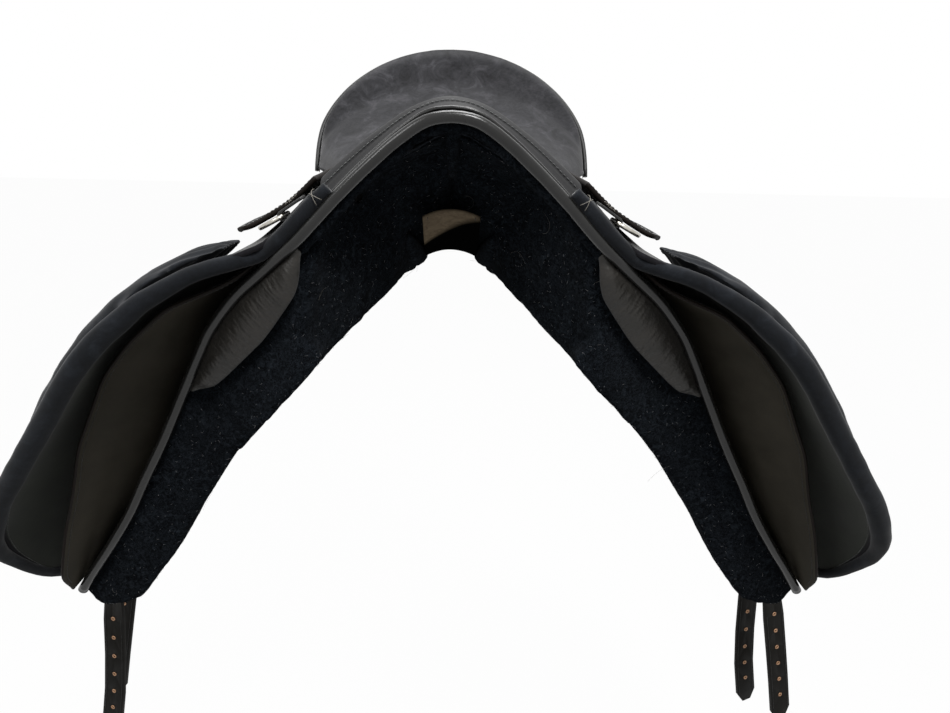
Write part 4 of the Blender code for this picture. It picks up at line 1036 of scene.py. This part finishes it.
def build_sweat_flap(side, word):
    """Sweat flap: smooth hide with a line of stitches on both faces; its cut edge takes the dark edge
    leather as painted shade over the light its rounded edge would catch.
    """
    rows = steps(81, SWEAT_TOP_S, 0.545) + steps(9, 0.5468, SWEAT_END_S)
    columns = [0.5 * (1.0 - math.cos(math.pi * k / 160)) * 2.0 for k in range(81)]

    def point(s, t, lift):
        y = mix(along(SWEAT_FRONT, s), along(SWEAT_REAR, s), t)
        place = on_slope(side, s, sweat_height(s, y) + lift, y)
        return place + outward_at(side) * (0.0004 * wobble(place, 44.0, 51))

    # The sweat flap's edge faces take the dark edge leather as painted shade, so the rounded edge shows no
    # light catch
    put(sheet_mesh("sweat_flap_leather_" + word, [[point(s, t, 0.0) for t in columns] for s in rows],
                   [[point(s, t, SWEAT_LEATHER) for t in columns] for s in rows], 2,
                   lambda i, j, over: 1 if i is None else 0), ["sweat_leather", "skirt_edge"],
        replaced=["sweat_flap_" + word])
    stitches = []
    for lift, sign in ((-0.0002, -1.0), (SWEAT_LEATHER + 0.0002, 1.0)):
        path = [point(s, 0.018, lift) for s in rows[4:-6]]
        stitches += stitch_paths(path, outward_at(side) * sign, 0.0032, 0.0011)
    put(joined_tubes("sweat_flap_stitching_" + word, stitches, 0.00028),
        ["black_thread"])


def flap_point(side, s, t, lift):
    """A point of the flap: s down the slope, t from front edge to rear edge, lift over its lining."""
    y = mix(along(FLAP_FRONT, s), along(FLAP_REAR, s), t)
    low = s + FLAP_BOW * math.sin(math.pi * t) * smooth((s - 0.40) / 0.16)
    place = on_slope(side, low, flap_height(low, y) + lift, y)
    return place + outward_at(side) * (0.0005 * wobble(place, 60.0, 61) + 0.0002 * wobble(place, 18.0, 62))


def build_flap(side, word):
    """Flap: lining inside, folded border round it, leather outside, and a thick suede binding in front."""
    body = "flap_" + word
    rows = steps(70, FLAP_TOP_S, 0.564) + steps(12, 0.5655, FLAP_END_S)
    columns = [0.0, 0.008, 0.016, 0.026, 0.036, 0.046] + steps(64, 0.056, 0.95) + [0.963, 0.976, 0.988, 1.0]
    border_row = max(k for k, s in enumerate(rows) if s < FLAP_END_S - FLAP_BORDER)

    def kind(i, j, over):
        if over is True:
            return 0
        border = j < FLAP_BORDER_COLUMN or j >= len(columns) - 4 or i >= border_row
        return 1 if border else 2

    points = []
    faces = []
    kinds = []
    for over in (False, True):
        lift = FLAP_LEATHER if over else 0.0
        points += [flap_point(side, s, t, lift) for s in rows for t in columns]
    width = len(columns)
    top = len(rows) * width

    def shown(i, j):
        if not (0 <= i < len(rows) - 1 and 0 <= j < width - 1):
            return False
        s = 0.5 * (rows[i] + rows[i + 1])
        t = 0.5 * (columns[j] + columns[j + 1])
        y = mix(along(FLAP_FRONT, s), along(FLAP_REAR, s), t)
        under_bar = s < NOTCH_S and NOTCH_Y[0] < y
        behind = s < NOTCH_REAR_S and y > NOTCH_Y[1]
        return not (under_bar or behind)

    for i in range(len(rows) - 1):
        for j in range(width - 1):
            if not shown(i, j):
                continue
            a, b, c, d = i * width + j, i * width + j + 1, (i + 1) * width + j + 1, (i + 1) * width + j
            faces.append((a, b, c, d))
            kinds.append(kind(i, j, False))
            faces.append((a + top, d + top, c + top, b + top))
            kinds.append(0)
            for near, p, q in (((i - 1, j), a, b), ((i + 1, j), c, d), ((i, j - 1), d, a),
                               ((i, j + 1), b, c)):
                if not shown(*near):
                    faces.append((q, p, p + top, q + top))
                    kinds.append(1)
    used = sorted({k for f in faces for k in f})
    renumbered = {old: new for new, old in enumerate(used)}
    points = [points[k] for k in used]
    faces = [tuple(renumbered[k] for k in f) for f in faces]
    if not facing_out(points, faces):
        faces = [tuple(reversed(f)) for f in faces]
    put(mesh_from("flap_leather_" + word, points, faces, kinds),
        ["black_leather", "border_nubuck", "lining"], body, ["flap_" + word])
    build_flap_edges(side, word, body)


def binding_point(side, s):
    """Centre line of the flap's binding: beside the roll at the top, then along the flap's front edge."""
    edge = flap_point(side, s, 0.0, FLAP_LEATHER * 0.5)
    h = roll_height(s)
    beside = on_slope(side, s, h + ROLL_RADIUS + 0.0046, panel_front(slope_x(s, h)) - 0.0040)
    return beside.lerp(edge, smooth((s - 0.165) / 0.045))


def build_flap_edges(side, word, body):
    """Front binding, the welt at the bottom edge and the pale stitching inside the border."""
    binding = [binding_point(side, s) for s in steps(145, BINDING_TOP_S, BINDING_END_S)]

    def thickness(share):
        wide = mix(0.0062, 0.0086, smooth((share - 0.22) / 0.20))
        return wide * mix(0.75, 1.0, smooth(share / 0.05)) * (1.0 - 0.50 * smooth((share - 0.80) / 0.20))

    put(tube_mesh("flap_binding_" + word, binding, thickness, 18, waver=0.05, seed=64),
        ["binding_suede"], body)
    crosses = []
    for lean in (-CROSS_LEAN, CROSS_LEAN):
        crosses.append([binding_point(side, CROSS_S + lean * (1.0 - 2.0 * k / 10.0))
                        + (outward_at(side) * math.sin(a) - Vector((0.0, math.cos(a), 0.0))) * CROSS_REACH
                        for k, a in enumerate(steps(11, -0.5, 1.9))])
    put(joined_tubes("binding_stitches_" + word, crosses, 0.00026, 6),
        ["pale_thread"], body)
    bottom = [flap_point(side, FLAP_END_S, t, FLAP_LEATHER * 0.5) for t in steps(80, 0.0, 1.0)]
    rear = [flap_point(side, s, 1.0, FLAP_LEATHER * 0.5) for s in reversed(steps(100, 0.200, FLAP_END_S))]
    put(tube_mesh("flap_edge_" + word, bottom + rear[1:], 0.0036, 10, waver=0.06),
        ["border_nubuck"], body)
    line = [flap_point(side, s, FLAP_STITCH_T, -0.0003)
            for s in steps(120, 0.200, FLAP_END_S - FLAP_BORDER)]
    line += [flap_point(side, FLAP_END_S - FLAP_BORDER, t, -0.0003)
             for t in steps(80, FLAP_STITCH_T + 0.01, 0.955)]
    stitches = stitch_paths(line, -outward_at(side), 0.0030, 0.0010)
    put(joined_tubes("flap_lining_stitching_" + word, stitches, 0.0003),
        ["grey_thread"], body)
    outer = [flap_point(side, s, 0.975, FLAP_LEATHER + 0.0002) for s in steps(120, 0.215, 0.547)]
    outer += [flap_point(side, FLAP_END_S - FLAP_SEWN_IN, t, FLAP_LEATHER + 0.0002)
              for t in reversed(steps(90, 0.06, 0.94))]
    put(joined_tubes("flap_outer_stitching_" + word, stitch_paths(outer, outward_at(side), 0.0030, 0.0010),
                     0.0003),
        ["black_thread"], body)


def build_block(side, word):
    """Outside thigh block: foam under suede, swollen and gathered at its top."""
    body = "flap_" + word
    made = put(copied("thigh_block_" + word, "block_suede_" + word), ["binding_suede"], body,
               ["thigh_block_" + word])
    applied(made, ("REMESH", {"mode": "VOXEL", "voxel_size": 0.0045}))
    for v in made.data.vertices:
        v.co -= v.normal * 0.0015
    outward = outward_at(side)
    low = min(v.co.dot(outward) for v in made.data.vertices)
    puffed(made, 3.5, 0.005, lambda place: 1.0 - smooth((place.dot(outward) - low) / 0.03))
    applied(made, ("SMOOTH", {"factor": 0.6, "iterations": 5}), ("SUBSURF", {"levels": 1}))
    top = max(v.co.z for v in made.data.vertices)
    for v in made.data.vertices:
        near_top = smooth((v.co.z - (top - 0.030)) / 0.025)
        gather = near_top * 0.0011 * math.sin((v.co.y + 0.2) * 2.0 * math.pi / 0.013)
        v.co += v.normal * (gather + 0.0006 * wobble(v.co, 22.0, 71))
    painted(made.data, "binding_suede")
    made.data.shade_smooth()


def build_skirt(side, word):
    """Skirt over the stirrup bar, with a waxed cut edge and a line of stitches."""
    body = "skirt_" + word
    rows = steps(26, SKIRT_TOP_S, 0.190) + steps(6, 0.1912, SKIRT_END_S)
    columns = [0.5 * (1.0 - math.cos(math.pi * k / 48)) for k in range(49)]

    def point(s, t, lift):
        y = mix(along(SKIRT_FRONT, s), along(SKIRT_REAR, s), t)
        place = on_slope(side, s, along(SKIRT_INNER, s) + lift, y)
        curl = 0.0022 * smooth((s - 0.180) / 0.016) * (1.0 - smooth((t - 0.3) / 0.4))
        return place + outward_at(side) * (curl + 0.0003 * wobble(place, 30.0, 81))

    def kind(i, j, over):
        if i is None:
            return 1
        return 0 if over else 1

    put(sheet_mesh("skirt_leather_" + word, [[point(s, t, 0.0) for t in columns] for s in rows],
                   [[point(s, t, SKIRT_LEATHER) for t in columns] for s in rows], 2, kind),
        ["black_leather", "skirt_edge"], body, ["skirt_" + word])
    line = [point(s, 0.04, SKIRT_LEATHER + 0.0002) for s in steps(40, 0.122, 0.187)]
    line += [point(0.1885, t, SKIRT_LEATHER + 0.0002) for t in steps(60, 0.06, 0.95)]
    stitches = stitch_paths(line, outward_at(side), 0.0030, 0.0010)
    put(joined_tubes("skirt_stitching_" + word, stitches, 0.0003), ["black_thread"], body)


def build_ring(side, word):
    """Plated D ring and its chape with a stitched tail."""
    ring = put(copied("d_ring_" + word, "ring_wire_" + word), ["nickel"], "d_ring_" + word,
               ["d_ring_" + word])
    applied(ring, ("SUBSURF", {"levels": 1}))
    chape = put(copied("ring_chape_" + word, "ring_strap_" + word), ["black_leather"],
                "flap_" + word, ["ring_chape_" + word])
    applied(chape, ("BEVEL", {"width": 0.0005, "segments": 2, "angle_limit": math.radians(50.0)}))
    outward = outward_at(side)
    box_low, box_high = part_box("ring_chape_" + word)
    down = Vector((side * math.sin(SLOPE), 0.0, -math.cos(SLOPE)))
    face = max(v.co.dot(outward) for v in chape.data.vertices)
    first = min(v.co.dot(down) for v in chape.data.vertices)
    start = outward * (face + 0.0001) + down * (first + 0.004)
    stitches = []
    for y in (box_low[1] + 0.0025, box_high[1] - 0.0025):
        line = [Vector((start.x, y, start.z)) + down * d for d in steps(8, 0.0, 0.011)]
        stitches += stitch_paths(line, outward, 0.0022, 0.0010)
    put(joined_tubes("ring_stitching_" + word, stitches, 0.00035), ["pale_thread"],
        "flap_" + word)


def build_bar(side, word):
    """Stirrup bar and its catch, with the edges of the forging rounded."""
    for node, name in (("stirrup_bar_", "bar_forging_"), ("bar_catch_", "catch_forging_")):
        body = "saddle_body" if node == "stirrup_bar_" else "catch_" + word
        made = put(copied(node + word, name + word), ["steel"], body, [node + word])
        applied(made, ("BEVEL", {"width": 0.0008, "segments": 3, "angle_limit": math.radians(50.0)}))


def billet_height(side, s, lift, which):
    over = roll_height(s) + ROLL_RADIUS + GAP + SWEAT_LEATHER + GAP
    hang = along(BILLET_HANG, s) - BILLET_DROP[which, side] * smooth((s - BILLET_DROP_START) / 0.19)
    return mix(over, hang, smooth((s - 0.520) / 0.04)) + lift


def build_billets(side, word):
    """Billets with punched holes, rubbed copper-brown at their rims, and a creased line along each edge."""
    for which in BILLET_FROM_FRONT:
        node = which + "_billet_" + word
        made = put(copied(node, "strap_" + node), ["billet_leather"], node, [node])
        applied(made, ("BEVEL", {"width": 0.0007, "segments": 2, "angle_limit": math.radians(50.0)}))
        rims = []
        for k in range(HOLE_COUNT):
            s = BILLET_END_S - HOLE_FROM_END - k * HOLE_SPACING
            for face in (0.0, BILLET_LEATHER):
                middle = strap_point(side, s, 0.0, face, which)
                along_strap = (strap_point(side, s + 0.002, 0.0, face, which) - middle).normalized()
                across = (strap_point(side, s, 0.002, face, which) - middle).normalized()
                rims.append([middle + (across * math.cos(a) + along_strap * math.sin(a)) * HOLE_RIM_RADIUS
                             for a in steps(15, 0.0, 2 * math.pi)])
        put(joined_tubes("hole_rims_" + node, rims, 0.00095, 7), ["copper"], node)
        stitches = []
        for across in (-0.0105, 0.0105):
            for face, sign in ((-0.0002, -1.0), (BILLET_LEATHER + 0.0002, 1.0)):
                line = [strap_point(side, s, across, face, which) for s in steps(40, 0.268, 0.330)]
                stitches += stitch_paths(line, outward_at(side) * sign, 0.0030, 0.0011)
                stitches.append([strap_point(side, s, across, face, which)
                                 for s in steps(90, 0.335, 0.806)])
        put(joined_tubes("edge_lines_" + node, stitches, 0.00022, 4), ["black_thread"], node)
        painted(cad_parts["girth_web_" + which + "_" + word].data, "dark_webbing")


def strap_point(side, s, across, face, which):
    """A place on a billet, which turns about its own length where it hangs free."""
    lift = WEB_THICKNESS + GAP
    ahead, behind = [billet_height(side, s + step, lift, which) for step in (0.002, -0.002)]
    slope = (ahead - behind) / 0.004
    turn = 1.0 / math.hypot(1.0, slope)
    twist = BILLET_TWIST * smooth((s - 0.575) / 0.09)
    raised = face - BILLET_LEATHER / 2
    out = across * math.sin(twist) + raised * math.cos(twist) + BILLET_LEATHER / 2
    y = BILLET_FROM_FRONT[which] + across * math.cos(twist) - raised * math.sin(twist)
    return on_slope(side, s - slope * turn * out, billet_height(side, s, lift, which) + turn * out, y)


def dress_hidden():
    """Foam, webs, tree, points and arch plate keep their CAD shapes and get their real materials."""
    hidden = {"seat_foam": "foam", "seat_web_long": "webbing", "seat_web_cross": "webbing", "tree": "wood",
              "tree_point_left": "black_leather", "tree_point_right": "black_leather",
              "arch_plate": "steel"}
    for node, finish in hidden.items():
        painted(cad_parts[node].data, finish)


# Stage, camera and lights

def floor_paint(shade):
    """White paint that looks white to the camera, less a soft shadow."""
    made = bpy.data.materials.new("matt_white_floor_paint")
    made.use_nodes = True
    tree = made.node_tree
    tree.nodes.clear()
    glow = add_node(tree, "ShaderNodeEmission", Color=(1.0, 1.0, 1.0, 1.0), Strength=1.0)
    paths = add_node(tree, "ShaderNodeLightPath")
    seen = seen_directly(tree, paths)
    paint = add_node(tree, "ShaderNodeBsdfPrincipled", Roughness=0.9)
    tree.links.new(ranged(tree, seen, 0.42, 0.95, 0.0, 1.0), paint.inputs["Base Color"])
    share = add_node(tree, "ShaderNodeMath", [(0, seen)], operation="MULTIPLY")
    share.inputs[1].default_value = 1.0 - shade
    blend = add_node(tree, "ShaderNodeMixShader",
                     [(0, share.outputs[0]), (1, paint.outputs[0]), (2, glow.outputs[0])])
    add_node(tree, "ShaderNodeOutputMaterial", [(0, blend.outputs[0])])
    return made


def seen_directly(tree, paths):
    """One where a ray comes from the camera, a mirror or glass."""
    seen = paths.outputs["Is Camera Ray"]
    for other in ("Is Glossy Ray", "Is Transmission Ray"):
        seen = add_node(tree, "ShaderNodeMath", [(0, seen), (1, paths.outputs[other])],
                        operation="MAXIMUM").outputs[0]
    return seen


def build_stage():
    """Pale floor and world and three soft lamps."""
    look = bpy.context.scene.saddle_light
    world = bpy.data.worlds.new("studio")
    bpy.context.scene.world = world
    world.use_nodes = True
    tree = world.node_tree
    tree.nodes.clear()
    paths = add_node(tree, "ShaderNodeLightPath")
    seen = seen_directly(tree, paths)
    backdrop = add_node(tree, "ShaderNodeBackground", Color=(1.0, 1.0, 1.0, 1.0), Strength=1.0)
    room = add_node(tree, "ShaderNodeBackground", Color=(1.0, 1.0, 1.0, 1.0), Strength=look.room)
    blend = add_node(tree, "ShaderNodeMixShader")
    tree.links.new(seen, blend.inputs[0])
    tree.links.new(room.outputs[0], blend.inputs[1])
    tree.links.new(backdrop.outputs[0], blend.inputs[2])
    output = add_node(tree, "ShaderNodeOutputWorld")
    tree.links.new(blend.outputs[0], output.inputs[0])
    corners = [(x, y, FLOOR_Z) for x, y in ((-9, -9), (9, -9), (9, 9), (-9, 9))]
    floor = bpy.data.objects.new("floor", mesh_from("floor", corners, [(0, 1, 2, 3)]))
    floor.data.materials.append(floor_paint(look.floor_shade))
    bpy.context.scene.collection.objects.link(floor)
    for name, place, aim, size, power in (
            ("key", (0.40, -0.95, 1.60), (0.0, 0.0, 0.1), 0.5, look.key),
            ("fill", (-0.95, -0.85, 1.15), (0.0, 0.0, 0.05), 0.6, look.fill),
            ("top", (0.10, 0.60, 1.60), (0.0, 0.1, 0.1), 1.0, look.top)):
        lamp = bpy.data.lights.new(name, "AREA")
        lamp.shape = "DISK"
        lamp.size = size
        lamp.energy = power
        made = bpy.data.objects.new(name, lamp)
        bpy.context.scene.collection.objects.link(made)
        made.location = place
        made.rotation_euler = (Vector(aim) - Vector(place)).to_track_quat("-Z", "Y").to_euler()


def build_camera():
    pitch, yaw = CAMERA_PITCH, CAMERA_YAW
    ahead = Vector((math.sin(yaw) * math.cos(pitch), math.cos(yaw) * math.cos(pitch), -math.sin(pitch)))
    level = ahead.cross(Vector((0.0, 0.0, 1.0))).normalized()
    above = level.cross(ahead).normalized()
    right = level * math.cos(CAMERA_ROLL) + above * math.sin(CAMERA_ROLL)
    up = above * math.cos(CAMERA_ROLL) - level * math.sin(CAMERA_ROLL)
    data = bpy.data.cameras.new("photograph")
    data.sensor_width = SENSOR_MM
    data.sensor_fit = "HORIZONTAL"
    data.lens = SENSOR_MM * FOCAL_PIXELS / PHOTO_WIDTH
    data.clip_start = 0.01
    made = bpy.data.objects.new("photograph", data)
    bpy.context.scene.collection.objects.link(made)
    turned = Matrix((right, up, -ahead)).transposed().to_4x4()
    turned.translation = Vector(CAMERA_PLACE)
    made.matrix_world = turned
    bpy.context.scene.camera = made
    bpy.context.scene.view_settings.view_transform = "Standard"


# Floor, painted shadow line, seams and notches

FLOOR_Z = -0.80
# Slant and place of the painted shadow's edge on the channel strip
SHADOW_SLANT = 0.80
SHADOW_LINE_Y = -0.1415
SEAT_SEAM_U = 0.66
SEAT_SEAM_END = 0.55
BAND_SEAM_Y = 0.030
NOTCH_S = 0.162
NOTCH_Y = (0.050, 0.186)
NOTCH_REAR_S = 0.188
FLAP_BORDER = 0.016
FLAP_BORDER_COLUMN = 5
FLAP_STITCH_T = 0.050


class SaddleLight(bpy.types.PropertyGroup):
    """Strength of the studio's lamps."""

    room: bpy.props.FloatProperty(name="Room", description="Strength of the even light from all round",
                                  default=0.17, min=0.0)
    key: bpy.props.FloatProperty(name="Key", description="Power of the front lamp", default=22.0, min=0.0,
                                 unit="POWER")
    fill: bpy.props.FloatProperty(name="Fill", description="Power of the side lamp", default=7.0, min=0.0,
                                  unit="POWER")
    floor_shade: bpy.props.FloatProperty(name="Floor shade",
                                         description="How much of the floor's own shade is seen",
                                         default=0.03, min=0.0, max=1.0, subtype="FACTOR")
    top: bpy.props.FloatProperty(name="Top", description="Power of the rear lamp", default=20.0, min=0.0,
                                 unit="POWER")


def both_sides(*builders):
    for side, word in SIDES:
        for builder in builders:
            builder(side, word)


class SADDLE_OT_seat(bpy.types.Operator):
    """Seat leather, cantle wall, rim welt and their stitching"""

    bl_idname = "saddle.seat"
    bl_label = "Seat and cantle"

    def execute(self, context):
        build_seat()
        return {"FINISHED"}


class SADDLE_OT_pommel(bpy.types.Operator):
    """Front roll, welt, rubbed band and the strip along the gullet"""

    bl_idname = "saddle.pommel"
    bl_label = "Pommel and gullet"

    def execute(self, context):
        build_pommel()
        build_channel()
        return {"FINISHED"}


class SADDLE_OT_panels(bpy.types.Operator):
    """Felt panels with lint, hairs, torn tuck and pebbled crescents"""

    bl_idname = "saddle.panels"
    bl_label = "Panels"

    def execute(self, context):
        both_sides(build_panel, build_facing)
        build_felt_edge()
        return {"FINISHED"}


class SADDLE_OT_flaps(bpy.types.Operator):
    """Sweat flaps, flaps with binding and lining, thigh blocks and skirts"""

    bl_idname = "saddle.flaps"
    bl_label = "Flaps and blocks"

    def execute(self, context):
        both_sides(build_sweat_flap, build_flap, build_block, build_skirt)
        return {"FINISHED"}


class SADDLE_OT_hardware(bpy.types.Operator):
    """Stirrup bars, catches, D rings and billets"""

    bl_idname = "saddle.hardware"
    bl_label = "Bars, rings and billets"

    def execute(self, context):
        both_sides(build_bar, build_ring, build_billets)
        dress_hidden()
        return {"FINISHED"}


class SADDLE_OT_stage(bpy.types.Operator):
    """World, lamps and camera"""

    bl_idname = "saddle.stage"
    bl_label = "Stage"

    def execute(self, context):
        build_stage()
        build_camera()
        return {"FINISHED"}


class SADDLE_PT_panel(bpy.types.Panel):
    """Lists the pieces and the light"""

    bl_idname = "SADDLE_PT_panel"
    bl_label = "Saddle"
    bl_space_type = "VIEW_3D"
    bl_region_type = "UI"
    bl_category = "Saddle"

    def draw(self, context):
        for name in OPERATORS:
            self.layout.operator("saddle." + name)
        for name in ("room", "key", "fill", "top"):
            self.layout.prop(context.scene.saddle_light, name)


OPERATORS = ("seat", "pommel", "panels", "flaps", "hardware", "stage")
CLASSES = (SaddleLight, SADDLE_OT_seat, SADDLE_OT_pommel, SADDLE_OT_panels, SADDLE_OT_flaps,
           SADDLE_OT_hardware, SADDLE_OT_stage, SADDLE_PT_panel)


def register():
    for made in CLASSES:
        bpy.utils.register_class(made)
    bpy.types.Scene.saddle_light = bpy.props.PointerProperty(type=SaddleLight)


def unregister():
    del bpy.types.Scene.saddle_light
    for made in reversed(CLASSES):
        bpy.utils.unregister_class(made)


def main():
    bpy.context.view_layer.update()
    register()
    for name in OPERATORS:
        getattr(bpy.ops.saddle, name)()


if __name__ == "__main__":
    main()
